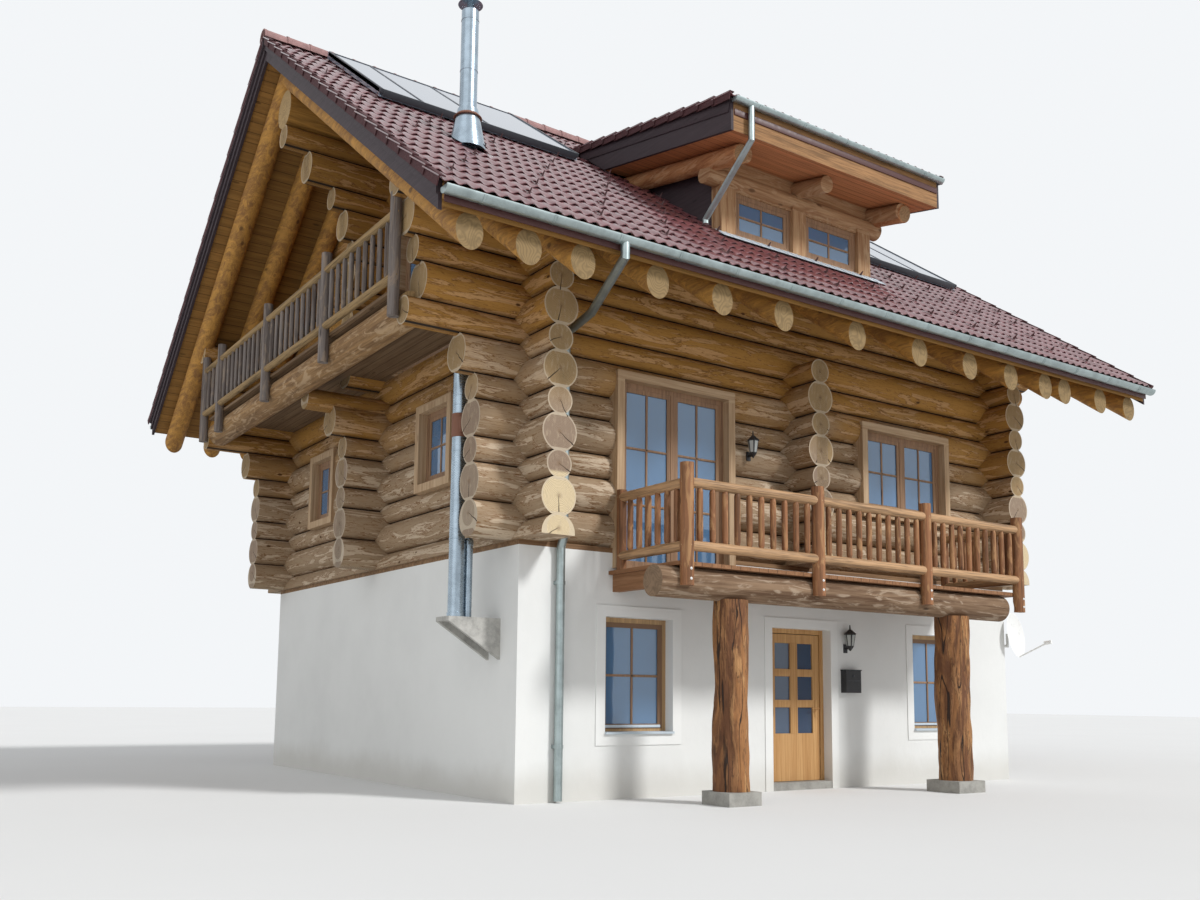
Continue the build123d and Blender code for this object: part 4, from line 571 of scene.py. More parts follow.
def trunk_finish(name):
    """Knobbly tree trunks: golden and brown fields, knots and long drying cracks."""
    gold, brown = (0.36, 0.165, 0.06), (0.145, 0.06, 0.026)
    gold_patch, brown_patch = (0.46, 0.245, 0.10), (0.24, 0.11, 0.045)
    bast, knot_brown, crack_brown = (0.085, 0.036, 0.016), (0.07, 0.03, 0.014), (0.03, 0.016, 0.01)
    finish = Finish(name, 0.7, dull)
    fields = finish.drawn_noise(finish.place, (3.6, 3.6, 0.8), 4.0, 0.6, 1.2)
    golden = finish.smooth(fields, 0.40, 0.62)
    base = finish.mix(golden, brown, gold)
    patch = finish.mix(golden, brown_patch, gold_patch)
    colour, figure = peeled_colour(finish, finish.place, "Z", base, patch, bast)[:2]
    knots = finish.cells(finish.stretch(finish.place, (3.4, 3.4, 1.5)))
    colour = finish.lay(colour, knot_brown, finish.smooth(knots, 0.16, 0.06), 0.8)
    split = finish.drawn_noise(finish.place, (7.0, 7.0, 0.45), 1.0, 0.5, 0.3)
    crack = finish.smooth(finish.apart(split, 0.5), 0.012, 0.004)
    finish.colour(finish.mix(crack, colour, crack_brown))
    finish.bump(finish.sum(figure, fields, finish.times(crack, -0.6)), 0.05, 0.8)


def window_finish(name, outer, sash, sill):
    """Ground-floor windows: golden frames, browner sashes and a pale metal sill."""
    house_middle, window_place = 0.025, 2.685
    sash_half_width, sash_edge_width = 0.446, 0.442
    sash_middle, sash_half_height, sash_edge_height = 1.4375, 0.632, 0.628
    sill_top = (0.7775, 0.7765)
    finish = Finish(name, 0.6, dull)
    colour, fibre, broad = wood_colour(finish, "Z", outer, shade(outer, 0.65), 26.0)
    sash_colour = finish.mix(fibre, sash, shade(sash, 0.6))
    across = finish.apart(finish.apart(finish.x, house_middle), window_place)
    beside = finish.smooth(across, sash_half_width, sash_edge_width)
    between = finish.smooth(finish.apart(finish.z, sash_middle), sash_half_height, sash_edge_height)
    colour = finish.mix(finish.times(beside, between), colour, sash_colour)
    finish.colour(finish.mix(finish.smooth(finish.z, *sill_top), colour, sill))
    finish.bump(finish.sum(broad, fibre), 0.004, 0.3)


def plaster_finish(name, tone, grit=1.0):
    """Hand-floated plaster with faint marks and a slightly soiled foot."""
    soiled = (0.45, 0.42, 0.36)
    soil_height = (0.25, -0.15)
    finish = Finish(name, 0.9)
    cloud = finish.noise(finish.place, 0.7, 4.0, 0.6)
    trowel = finish.drawn_noise(finish.place, (9.0, 9.0, 5.0), 4.0, 0.6, 0.8)
    grain = finish.noise(finish.place, 160.0, 2.0)
    foot = finish.smooth(finish.sum(finish.z, finish.times(cloud, -0.5)), *soil_height)
    colour = finish.mix(finish.smooth(cloud, 0.35, 0.75), tone, shade(tone, 0.93))
    colour = finish.lay(colour, shade(tone, 0.86), trowel, 0.18)
    finish.colour(finish.lay(colour, soiled, foot, 0.4))
    finish.bump(finish.sum(finish.times(trowel, 1.2), finish.times(grain, 0.35)), 0.004 * grit, 0.6)


def tile_finish(name, tone):
    """Glazed clay: every tile a little different, with paler clouds."""
    tile_width, tile_row = 0.1478, 0.306
    cloud_red = (0.24, 0.10, 0.10)
    finish = Finish(name, 0.38, (("Coat Weight", 1.0), ("Coat Roughness", 0.1)))
    column = finish.calc("FLOOR", finish.over(finish.x, tile_width))
    row = finish.calc("FLOOR", finish.over(finish.y, tile_row))
    tint = finish.chance(finish.join(column, row, 0.0))
    mottle = finish.noise(finish.place, 24.0, 4.0, 0.6)
    colour = finish.lay(tone, shade(tone, 0.5), tint, 0.6)
    finish.colour(finish.mix(finish.smooth(mottle, 0.5, 0.75), colour, cloud_red))
    finish.roughness(mottle, 0.3, 0.2)
    finish.bump(mottle, 0.002, 0.4)


def metal_finish(name, tone, roughness, brushed=None):
    """Sheet metal with cloudy oxide and faint marks."""
    finish = Finish(name, roughness, (("Metallic", 0.9),))
    cloud = finish.noise(finish.place, 6.0, 5.0, 0.65)
    scales = grain_scales(brushed, 2.0, 90.0) if brushed else (45.0, 45.0, 45.0)
    marks = finish.drawn_noise(finish.place, scales)
    finish.colour(finish.mix(finish.smooth(cloud, 0.3, 0.75), tone, shade(tone, 0.72)))
    finish.roughness(marks, 0.25, roughness - 0.1)
    finish.bump(marks, 0.001, 0.25)


def paint_finish(name, tone, roughness=0.45):
    """Painted metal with a fine orange-peel surface and worn patches."""
    finish = Finish(name, roughness)
    peel = finish.noise(finish.place, 120.0, 2.0)
    wear = finish.noise(finish.place, 14.0, 4.0, 0.7)
    finish.colour(finish.mix(finish.smooth(wear, 0.55, 0.8), tone, shade(tone, 0.7)))
    finish.roughness(wear, 0.3, roughness - 0.15)
    finish.bump(peel, 0.0008, 0.4)


def glass_finish(name, tone, roughness=0.03, transmission=0.75, bend=1.5):
    """Clear panes with a faint unevenness."""
    finish = Finish(name, roughness, (("Transmission Weight", transmission), ("IOR", bend)))
    waves = finish.noise(finish.place, 2.2, 2.0)
    finish.colour(finish.mix(waves, tone, shade(tone, 0.9)))
    finish.bump(waves, 0.004, 0.15)


def stone_finish(name, tone, size=5.0):
    """Rough natural stone or clay."""
    finish = Finish(name, 0.9)
    patches = finish.noise(finish.place, size, 6.0, 0.7)
    grain = finish.noise(finish.place, 60.0, 4.0, 0.7)
    colour = finish.mix(finish.smooth(patches, 0.35, 0.7), tone, shade(tone, 0.55))
    finish.colour(finish.lay(colour, shade(tone, 1.25), grain, 0.5))
    finish.bump(finish.sum(patches, finish.times(grain, 0.4)), 0.02, 0.7)


def deck_finish(name, tone, face=None):
    """Roof boards: golden below, dark felt on top."""
    board = 0.13
    felt, felt_grain = (0.03, 0.02, 0.02), (0.05, 0.03, 0.03)
    finish = Finish(name, 0.75, dull)
    colour, fibre, broad = wood_colour(finish, "X", tone, shade(tone, 0.6), 12.0)
    place = finish.over(finish.y, board)
    gap = finish.smooth(finish.apart(finish.calc("FRACT", place), 0.5), 0.465, 0.49)
    tint = finish.chance(finish.join(finish.calc("FLOOR", place), 5.0, 1.0))
    colour = finish.lay(colour, shade(tone, 0.55), tint, 0.3)
    colour = finish.mix(gap, colour, shade(tone, 0.15))
    if face:
        # Faces that look along Y take a darker second tone, partly painted shade under the gutter at the
        # dormer's front.
        front = finish.smooth(finish.axis_normal("Y"), 0.6, 0.8)
        colour = finish.mix(front, colour, second_tone(finish, broad, fibre, face, 0.45))
    on_top = finish.smooth(finish.normal_z, 0.2, 0.3)
    finish.colour(finish.mix(on_top, colour, finish.mix(fibre, felt, felt_grain)))
    finish.bump(finish.sum(finish.less(1.0, gap), finish.times(broad, 0.4)), 0.005, 0.6)


# The nodes that take each finish
finish_nodes = {
    "logs_front": ("front_log_wall", "rear_log_wall"),
    "logs_gable": ("left_log_wall", "right_log_wall", "left_gable_logs", "right_gable_logs"),
    "logs_cross": ("cross_wall_log_ends",),
    "logs_middle": ("middle_wall_log_ends",),
    "timber_along_x": ("ridge_purlin", "dormer_trimmer"),
    "timber_along_y": ("front_rafters", "rear_rafters"),
    "timber_dormer": ("dormer_frame",),
    "plaster": (
        "front_wall_left", "front_wall_right", "front_wall_head", "left_wall", "rear_wall", "right_wall",
    ),
    "plaster_band": ("plaster_surrounds",),
    "concrete": ("ground_slab", "flue_bracket"),
    "stone": ("door_threshold", "plinth_stones"),
    "floor_boards": ("storey_floor", "attic_floor"),
    "planks_weathered": ("sill_planks",),
    "casing_planks": ("log_storey_casings",),
    "deck_planks_x": ("gable_deck",),
    "deck_planks_front": ("balcony_deck",),
    "grey_beam": ("balcony_beam",),
    "grey_beam_y": ("gable_beam",),
    "balcony_upright": ("balcony_supports",),
    "balcony_rails": ("front_balustrade",),
    "gable_rails": ("gable_balustrade",),
    "joinery": ("balcony_doors", "log_storey_windows", "dormer_windows"),
    "joinery_light": ("ground_windows",),
    "joinery_door": ("entrance_door", "entrance_door_frame"),
    "roof_boards": ("front_roof_deck", "rear_roof_deck"),
    "roof_boards_dormer": ("dormer_roof",),
    "tiles": ("front_roof_tiles", "rear_roof_tiles", "dormer_tiles", "ridge_tiles"),
    "verge_boards": ("bargeboards", "dormer_cheeks"),
    "eaves_wood": ("eaves_boards",),
    "zinc": ("gutters", "downpipes", "dormer_drainage"),
    "flue_steel": ("flue",),
    "collector_glass": ("solar_collectors",),
    "pane_glass": ("window_glass",),
    "door_glass": ("entrance_door_glass",),
    "black_iron": ("wall_fittings",),
    "white_paint": ("satellite_dish",),
}


def make_timber_finishes(gold, sawn):
    """Round timber, beams and rafters."""
    pale = shade(gold, 1.15)
    plank_finish("timber_along_x", "X", pale, shade(gold, 0.5), across=8.0, ends=sawn)
    # The rafters' sawn ends are darker than the log ends: painted shade of the eaves.
    plank_finish(
        "timber_along_y", "Y", pale, (0.24, 0.115, 0.038), across=8.0, ends=(0.27, 0.18, 0.08),
        fleck=shade(gold, 1.4),
    )
    plank_finish(
        "timber_dormer", "Z", (0.46, 0.285, 0.15), (0.26, 0.125, 0.055), across=10.0, level_above=7.885,
        fleck=(0.50, 0.34, 0.20),
    )
    plank_finish(
        "timber_cheek", "Y", (0.52, 0.255, 0.11), (0.27, 0.105, 0.042), across=9.0, ends=(0.36, 0.22, 0.11),
        fleck=(0.56, 0.34, 0.18),
    )


def make_wall_finishes(plaster):
    """Plaster, its raised bands, concrete and stone."""
    plaster_finish("plaster", plaster)
    plaster_finish("plaster_band", shade(plaster, 1.06), 0.6)
    stone_finish("concrete", (0.45, 0.44, 0.41), 9.0)
    stone_finish("stone", (0.34, 0.33, 0.30))


def make_board_finishes(balcony, sawn):
    """Floors, casings and the wood of both balconies."""
    plank_finish("floor_boards", "X", (0.45, 0.30, 0.16), (0.30, 0.17, 0.08), 0.16, "Y")
    plank_finish("planks_weathered", "X", (0.30, 0.18, 0.09), (0.15, 0.08, 0.04))
    plank_finish(
        "casing_planks", "Z", (0.56, 0.41, 0.26), (0.37, 0.235, 0.13), across=22.0, level_above=4.975,
    )
    plank_finish("deck_planks_x", "Y", (0.25, 0.165, 0.095), (0.13, 0.078, 0.04), 0.14, "X")
    plank_finish("deck_planks_front", "Y", (0.33, 0.17, 0.085), (0.19, 0.085, 0.035), 0.14, "X")
    plank_finish(
        "grey_beam", "X", (0.255, 0.165, 0.10), (0.095, 0.05, 0.026), across=12.0, roughness=0.85,
        ends=(0.24, 0.16, 0.10), fleck=(0.42, 0.325, 0.235),
    )
    plank_finish(
        "grey_beam_y", "Y", (0.34, 0.20, 0.085), (0.15, 0.08, 0.035), across=12.0, roughness=0.8, ends=sawn,
        fleck=(0.48, 0.34, 0.20),
    )
    trunk_finish("balcony_upright")
    plank_finish(
        "balcony_rails", "Z", shade(balcony, 1.25), shade(balcony, 0.45), across=12.0, roughness=0.55,
        level=((3.53, 0.058), (2.83, 0.058)), fleck=(0.44, 0.245, 0.11), rail=(0.50, 0.30, 0.155),
    )
    plank_finish(
        "gable_rails", "Z", (0.235, 0.205, 0.19), (0.09, 0.07, 0.06), across=16.0, roughness=0.85,
        level=((6.49, 0.048), (5.76, 0.048)), fleck=(0.30, 0.23, 0.17), rail=(0.34, 0.225, 0.105),
    )


def make_joinery_finishes(joinery):
    """Frames of windows and doors."""
    plank_finish("joinery", "Z", joinery, shade(joinery, 0.6), across=26.0, roughness=0.55)
    window_finish("joinery_light", (0.50, 0.32, 0.16), (0.27, 0.16, 0.095), (0.50, 0.57, 0.62))
    plank_finish("joinery_door", "Z", (0.56, 0.33, 0.14), (0.40, 0.20, 0.07), across=24.0, roughness=0.55)


def make_roof_finishes(verge, tile):
    """Boards, tiles and metal of the roof."""
    # The main roof boards are a darker copy of the dormer's: painted shade under the eaves.
    deck_finish("roof_boards", (0.37, 0.19, 0.05))
    # The second tone darkens the dormer's front edge: partly painted shade under its gutter.
    deck_finish("roof_boards_dormer", (0.64, 0.27, 0.11), (0.38, 0.20, 0.085))
    plank_finish("eaves_wood", "X", (0.50, 0.29, 0.11), (0.32, 0.16, 0.055), across=16.0)
    plank_finish("verge_boards", "Y", verge, shade(verge, 0.7), across=18.0, roughness=0.6)
    tile_finish("tiles", tile)
    metal_finish("zinc", (0.40, 0.47, 0.47), 0.36)
    metal_finish("flue_steel", (0.37, 0.45, 0.52), 0.24, "X")


def make_small_finishes():
    """Glass, painted metal and the clay of the ridge and verges."""
    # The strong blue of the window panes is painted reflection of a blue sky, over a faint tint of the
    # glass.
    glass_finish("pane_glass", (0.20, 0.41, 0.70), transmission=0.55, bend=1.9)
    glass_finish("door_glass", (0.10, 0.15, 0.24), transmission=0.4, bend=1.6)
    glass_finish("collector_glass", (0.20, 0.24, 0.30), 0.06, 0.0, 2.2)
    paint_finish("black_iron", (0.018, 0.018, 0.02), 0.5)
    paint_finish("white_paint", (0.80, 0.80, 0.78), 0.4)
    paint_finish("dark_metal", (0.04, 0.045, 0.055), 0.45)
    paint_finish("hook_metal", (0.10, 0.05, 0.05), 0.35)
    paint_finish("drip_paint", (0.07, 0.02, 0.018), 0.5)
    paint_finish("rusty_metal", (0.20, 0.085, 0.05), 0.7)
    paint_finish("sill_metal", (0.55, 0.62, 0.68), 0.35)
    glass_finish("lantern_glass", (0.42, 0.44, 0.42), 0.2, 0.0)
    stone_finish("ridge_clay", (0.36, 0.21, 0.20), 12.0)
    # The verge tiles are a darker copy of the tile clay: painted shade on the turned-down lips.
    stone_finish("verge_clay", (0.07, 0.022, 0.025), 16.0)


def make_finishes(colours):
    """Every material of the house."""
    log_finish("logs_front", colours, "X", log_courses_x, front_wall_axis, True)
    log_finish("logs_gable", colours, "Y", log_courses_y, side_wall_axis, True)
    log_finish("logs_cross", colours, "Y", log_courses_y, cross_wall_axis, False, swapped=True)
    log_finish("logs_middle", colours, "X", log_courses_x, 0.0, False)
    sawn = tuple(colours.log_end)
    make_timber_finishes(tuple(colours.log_gold), sawn)
    make_wall_finishes(tuple(colours.plaster))
    make_board_finishes(tuple(colours.balcony), sawn)
    make_joinery_finishes(tuple(colours.joinery))
    make_roof_finishes(tuple(colours.verge), tuple(colours.tile))
    make_small_finishes()


def dress_nodes():
    """Gives every node of the model its material."""
    for finish, names in finish_nodes.items():
        for name in names:
            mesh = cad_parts[name].data
            mesh.materials.clear()
            mesh.materials.append(finishes[finish])
            for polygon in mesh.polygons:
                polygon.material_index = 0


def dress(piece, body="house", replaced=()):
    """Puts a finished piece on its body, hiding the parts of the model that it replaces."""
    if replaced:
        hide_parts(*replaced)
    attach(piece, body)


def piece_from(name, build, finish):
    """An object whose mesh a function fills."""
    mesh = bpy.data.meshes.new(name)
    shape = bmesh.new()
    build(shape)
    bmesh.ops.recalc_face_normals(shape, faces=shape.faces)
    for face in shape.faces:
        face.smooth = True
    shape.to_mesh(mesh)
    shape.free()
    mesh.set_sharp_from_angle(angle=radians(38.0))
    mesh.materials.append(finishes[finish])
    piece = bpy.data.objects.new(name, mesh)
    bpy.context.scene.collection.objects.link(piece)
    return piece


def add_box(shape, low, high, bevel=0.0):
    """A block with eased edges."""
    heights, depths, widths = (low[2], high[2]), (low[1], high[1]), (low[0], high[0])
    corners = [shape.verts.new((x, y, z)) for z in heights for y in depths for x in widths]
    sides = ((0, 2, 3, 1), (4, 5, 7, 6), (0, 1, 5, 4), (2, 6, 7, 3), (1, 3, 7, 5), (0, 4, 6, 2))
    faces = [shape.faces.new([corners[i] for i in side]) for side in sides]
    if bevel:
        edges = list({edge for face in faces for edge in face.edges})
        bmesh.ops.bevel(shape, geom=edges, offset=bevel, segments=2, profile=0.5, affect="EDGES")


def add_boxes(shape, boxes, bevel=0.002, place=None):
    """Blocks as low and high corners, moved by a place."""
    start = len(shape.verts)
    for low, high in boxes:
        add_box(shape, low, high, bevel)
    if place is not None:
        shape.verts.ensure_lookup_table()
        bmesh.ops.transform(shape, matrix=place, verts=shape.verts[start:])


def bridge(shape, rings):
    """Skins a row of equal rings of points, with caps at both ends."""
    rows = [[shape.verts.new(point) for point in ring] for ring in rings]
    count = len(rows[0])
    for lower, upper in zip(rows, rows[1:]):
        for index in range(count):
            following = (index + 1) % count
            shape.faces.new((lower[index], lower[following], upper[following], upper[index]))
    shape.faces.new(list(reversed(rows[0])))
    shape.faces.new(rows[-1])


def add_turned(shape, base, axis, outline, segments=16):
    """A turned piece: an outline of radius and distance along an axis, closed at both ends."""
    along = Vector(axis).normalized()
    first = along.orthogonal().normalized()
    second = along.cross(first)
    rings = []
    for radius, distance in outline:
        middle = Vector(base) + along * distance
        ring = []
        for step in range(segments):
            angle = 2 * pi * step / segments
            ring.append(middle + (first * cos(angle) + second * sin(angle)) * radius)
        rings.append(ring)
    bridge(shape, rings)


def around_x(x, angle, radius):
    """A point at an angle and a radius round a line along X."""
    return Vector((x, cos(angle) * radius, sin(angle) * radius))


def slope_axes(slope):
    """Directions up a slope and out of it."""
    return Vector((0.0, 1.0, slope)).normalized(), Vector((0.0, -slope, 1.0)).normalized()


def up_slope(depth, slope):
    """Length up a slope over a level depth."""
    return depth * (1 + slope ** 2) ** 0.5


def laid_on(slope, y, z):
    """Turns blocks laid out level, X along the eave and Y up the slope, on to a slope through y and z."""
    turn = Matrix((Vector((1.0, 0.0, 0.0)), *slope_axes(slope))).transposed().to_4x4()
    return Matrix.Translation((0.0, y, z)) @ turn


def roof_surface(y):
    """Height of the tiles of a main slope."""
    return ridge_height - abs(y) * roof_slope


def shells(shape):
    """The separate closed shells of a mesh."""
    waiting = set(shape.faces)
    while waiting:
        shell = []
        stack = [waiting.pop()]
        while stack:
            face = stack.pop()
            shell.append(face)
            for edge in face.edges:
                for neighbour in edge.link_faces:
                    if neighbour in waiting:
                        waiting.remove(neighbour)
                        stack.append(neighbour)
        yield shell


def shell_box(shell):
    """Low and high corner of a shell."""
    points = [vert.co for face in shell for vert in face.verts]
    low = Vector([min(point[axis] for point in points) for axis in range(3)])
    high = Vector([max(point[axis] for point in points) for axis in range(3)])
    return low, high


def loose_boxes(name):
    """Low and high corners of each separate solid of a node."""
    shape = bmesh.new()
    shape.from_mesh(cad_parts[name].data)
    bmesh.ops.remove_doubles(shape, verts=shape.verts, dist=0.0001)
    corners = [shell_box(shell) for shell in shells(shape)]
    shape.free()
    return corners


def clip_box(piece):
    """Keeps a piece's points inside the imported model's box."""
    low, high = cad_box
    for vert in piece.data.vertices:
        for axis in range(3):
            vert.co[axis] = min(max(vert.co[axis], low[axis]), high[axis])


def joined(name, parts):
    """Several plain pieces made one."""
    shape = bmesh.new()
    materials = []
    for part in parts:
        offset = len(materials)
        materials.extend(part.data.materials)
        start = len(shape.faces)
        shape.from_mesh(part.data)
        shape.faces.ensure_lookup_table()
        for face in shape.faces[start:]:
            face.material_index += offset
    mesh = bpy.data.meshes.new(name)
    shape.to_mesh(mesh)
    shape.free()
    for material in materials:
        mesh.materials.append(material)
    for part in parts:
        bpy.data.objects.remove(part)
    piece = bpy.data.objects.new(name, mesh)
    bpy.context.scene.collection.objects.link(piece)
    return piece


# Trees for what repeats
def copies_tree(name, own_inputs):
    """Starts a tree that sets copies of a piece; returns its builder and its inputs."""
    tree = bpy.data.node_groups.new(name, "GeometryNodeTree")
    every_input = (
        ("Piece", "NodeSocketObject", None), *own_inputs, ("Unevenness", "NodeSocketVector", None),
        ("Seed", "NodeSocketInt", 1), ("Material", "NodeSocketMaterial", None),
    )
    for label, kind, default in every_input:
        socket = tree.interface.new_socket(label, in_out="INPUT", socket_type=kind)
        if default is not None:
            socket.default_value = default
    tree.interface.new_socket("Geometry", in_out="OUTPUT", socket_type="NodeSocketGeometry")
    builder = Tree(tree)
    return builder, builder.add("NodeGroupInput").outputs


def place_copies(builder, points, inputs):
    """Sets the piece on every point with a small random shift and its material, and ends the tree."""
    piece = builder.run("GeometryNodeObjectInfo", {"Object": inputs["Piece"]}, "Geometry")
    copies = builder.run("GeometryNodeInstanceOnPoints", {"Points": points, "Instance": piece})
    opposite = builder.stretch(inputs["Unevenness"], (-1.0, -1.0, -1.0))
    shift = builder.run("FunctionNodeRandomValue", {
        0: opposite, 1: inputs["Unevenness"], "Seed": inputs["Seed"],
    }, data_type="FLOAT_VECTOR")
    moved = builder.run("GeometryNodeTranslateInstances", {"Instances": copies, "Translation": shift})
    real = builder.run("GeometryNodeRealizeInstances", {0: moved})
    result = builder.run("GeometryNodeSetMaterial", {"Geometry": real, "Material": inputs["Material"]})
    builder.feed(builder.add("NodeGroupOutput").inputs[0], result)
    return builder.tree


def between(builder, value, low, high):
    """One where a value lies between two limits."""
    return builder.times(builder.calc("GREATER_THAN", value, low), builder.calc("LESS_THAN", value, high))


def tile_field_tree(openings):
    """Rows of tiles up a slope, left out where another piece comes through."""
    builder, inputs = copies_tree("Tile field", (
        ("Columns", "NodeSocketInt", 1), ("Rows", "NodeSocketInt", 1),
        ("Column spacing", "NodeSocketFloat", 0.1), ("Row spacing", "NodeSocketFloat", 0.1),
        ("Slope", "NodeSocketFloat", 0.5), ("Start", "NodeSocketVector", None),
    ))
    width = builder.times(builder.less(inputs["Columns"], 1.0), inputs["Column spacing"])
    depth = builder.times(builder.less(inputs["Rows"], 1.0), inputs["Row spacing"])
    grid = builder.run("GeometryNodeMeshGrid", {
        "Size X": width, "Size Y": depth, "Vertices X": inputs["Columns"], "Vertices Y": inputs["Rows"],
    })
    x, y = builder.split(builder.add("GeometryNodeInputPosition").outputs[0])[:2]
    across = builder.sum(x, builder.over(width, 2.0))
    up = builder.sum(y, builder.over(depth, 2.0))
    reach = builder.join(across, up, builder.times(up, inputs["Slope"]))
    place = builder.vector_calc("ADD", inputs["Start"], reach)
    points = builder.run("GeometryNodeSetPosition", {"Geometry": grid, "Position": place})
    x, y = builder.split(builder.add("GeometryNodeInputPosition").outputs[0])[:2]
    for x0, x1, y0, y1 in openings:
        inside = builder.times(between(builder, x, x0, x1), between(builder, y, y0, y1))
        points = builder.run("GeometryNodeDeleteGeometry", {
            "Geometry": points, "Selection": inside,
        }, domain="POINT")
    return place_copies(builder, points, inputs)


def row_tree():
    """Copies of a piece in one straight row."""
    builder, inputs = copies_tree("Row of pieces", (
        ("Count", "NodeSocketInt", 1), ("Start", "NodeSocketVector", None),
        ("Step", "NodeSocketVector", None),
    ))
    points = builder.run("GeometryNodeMeshLine", {
        "Count": inputs["Count"], "Start Location": inputs["Start"], "Offset": inputs["Step"],
    })
    return place_copies(builder, points, inputs)


def grown(name, tree, piece, finish, values):
    """The plain mesh that a tree makes of copies of a piece, with these inputs."""
    values = {"Piece": piece, "Material": finishes[finish], **values}
    carrier = bpy.data.objects.new(name + "_carrier", bpy.data.meshes.new(name + "_carrier"))
    bpy.context.scene.collection.objects.link(carrier)
    modifier = carrier.modifiers.new("Copies", "NODES")
    modifier.node_group = tree
    for item in tree.interface.items_tree:
        if item.item_type == "SOCKET" and item.in_out == "INPUT" and item.name in values:
            modifier[item.identifier] = values[item.name]
    graph = bpy.context.evaluated_depsgraph_get()
    graph.update()
    mesh = bpy.data.meshes.new_from_object(carrier.evaluated_get(graph))
    mesh.name = name
    bpy.data.objects.remove(carrier)
    result = bpy.data.objects.new(name, mesh)
    bpy.context.scene.collection.objects.link(result)
    if not mesh.polygons:
        raise RuntimeError(name + " came out empty")
    return result


# Roof covering
def tile_drop(sizes):
    """How far a tile sinks from its lower edge to its upper one, under the next row."""
    return tile_depth - sizes.wave_height - sizes.tile_thickness


def tile_wave(sizes, slope):
    """One wave of a roof tile, laid to the slope with its lower edge at the origin."""
    up, out = slope_axes(slope)
    length = up_slope(sizes.tile_gauge + tile_lap, slope)
    upper_sink = tile_drop(sizes) + 0.5 * sizes.wave_height
    lip, lip_length = 0.006, 0.012
    steps = 6

    def build(shape):
        rings = []
        for along, sink, wave, step_in in (
            (0.0, 0.0, 1.0, lip), (lip_length, 0.0, 1.0, 0.0), (length, upper_sink, 0.5, 0.0),
        ):
            upper = []
            lower = []
            for step in range(steps + 1):
                share = step / steps
                height = -sink - wave * sizes.wave_height * (0.5 - 0.5 * cos(2 * pi * share))
                middle = Vector(((share - 0.5) * sizes.wave_width, 0.0, 0.0)) + up * along
                upper.append(middle + out * (height - step_in))
                lower.append(middle + out * (height - sizes.tile_thickness))
            rings.append(upper + list(reversed(lower)))
        bridge(shape, rings)

    return piece_from("tile_wave", build, "tiles")


def tile_slope(name, tree, sizes, low, high, slope):
    """One slope covered with tiles."""
    columns = round((high.x - low.x) / sizes.wave_width)
    spacing = (high.x - low.x) / columns
    rows = int((high.y - low.y) / sizes.tile_gauge) + 1
    tile = tile_wave(sizes, slope)
    piece = grown(name, tree, tile, "tiles", {
        "Columns": columns, "Rows": rows, "Column spacing": spacing, "Row spacing": sizes.tile_gauge,
        "Slope": slope, "Start": Vector((low.x + spacing / 2, low.y, high.z - (high.y - low.y) * slope)),
        "Unevenness": (0.0006, 0.0015, 0.0008), "Seed": 4,
    })
    bpy.data.objects.remove(tile)
    return piece


def trim(piece, openings):
    """Cuts the tiles that reach into an opening back to its edge and closes the cut."""
    smallest_cut = 0.0001
    shape = bmesh.new()
    shape.from_mesh(piece.data)
    for shell in list(shells(shape)):
        low, high = shell_box(shell)
        for opening in openings:
            x0, x1, y0, y1 = opening
            reach = {
                (1, 0, 0): (high.x - x0, x0), (-1, 0, 0): (x1 - low.x, -x1),
                (0, 1, 0): (high.y - y0, y0), (0, -1, 0): (y1 - low.y, -y1),
            }
            if min(reach.values())[0] <= smallest_cut:
                continue
            side = min(reach, key=lambda key: reach[key][0])
            # Behind the dormer a tile keeps its width, because the dormer's own roof covers its lower half.
            if opening == dormer_opening and high.y > y1:
                side = (0, -1, 0)
            normal = Vector(side)
            edges = {edge for face in shell for edge in face.edges}
            verts = {vert for face in shell for vert in face.verts}
            cut = bmesh.ops.bisect_plane(
                shape, geom=list(verts) + list(edges) + shell, plane_co=normal * reach[side][1],
                plane_no=normal, clear_outer=True,
            )
            cut_edges = [item for item in cut["geom_cut"] if isinstance(item, bmesh.types.BMEdge)]
            bmesh.ops.holes_fill(shape, edges=[edge for edge in cut_edges if edge.is_boundary])
            break
    shape.to_mesh(piece.data)
    shape.free()


def make_tiles(sizes):
    """Tiles of the two main slopes and of the dormer."""
    field = tile_field_tree(())
    front = tile_slope("front_tiles", field, sizes, roof_low, roof_high, roof_slope)
    trim(front, (dormer_opening, flue_opening, over_ridge))
    dress(front, replaced=("front_roof_tiles",))
    rear_low = Vector((-roof_high.x, roof_low.y, roof_low.z))
    rear_high = Vector((-roof_low.x, roof_high.y, roof_high.z))
    rear = tile_slope("rear_tiles", field, sizes, rear_low, rear_high, roof_slope)
    trim(rear, (over_ridge,))
    rear.data.transform(Matrix.Rotation(pi, 4, "Z"))
    dress(rear, replaced=("rear_roof_tiles",))
    dormer = tile_slope("dormer_roof_tiles", field, sizes, dormer_low, dormer_high, dormer_slope)
    dress(dormer, replaced=("dormer_tiles",))


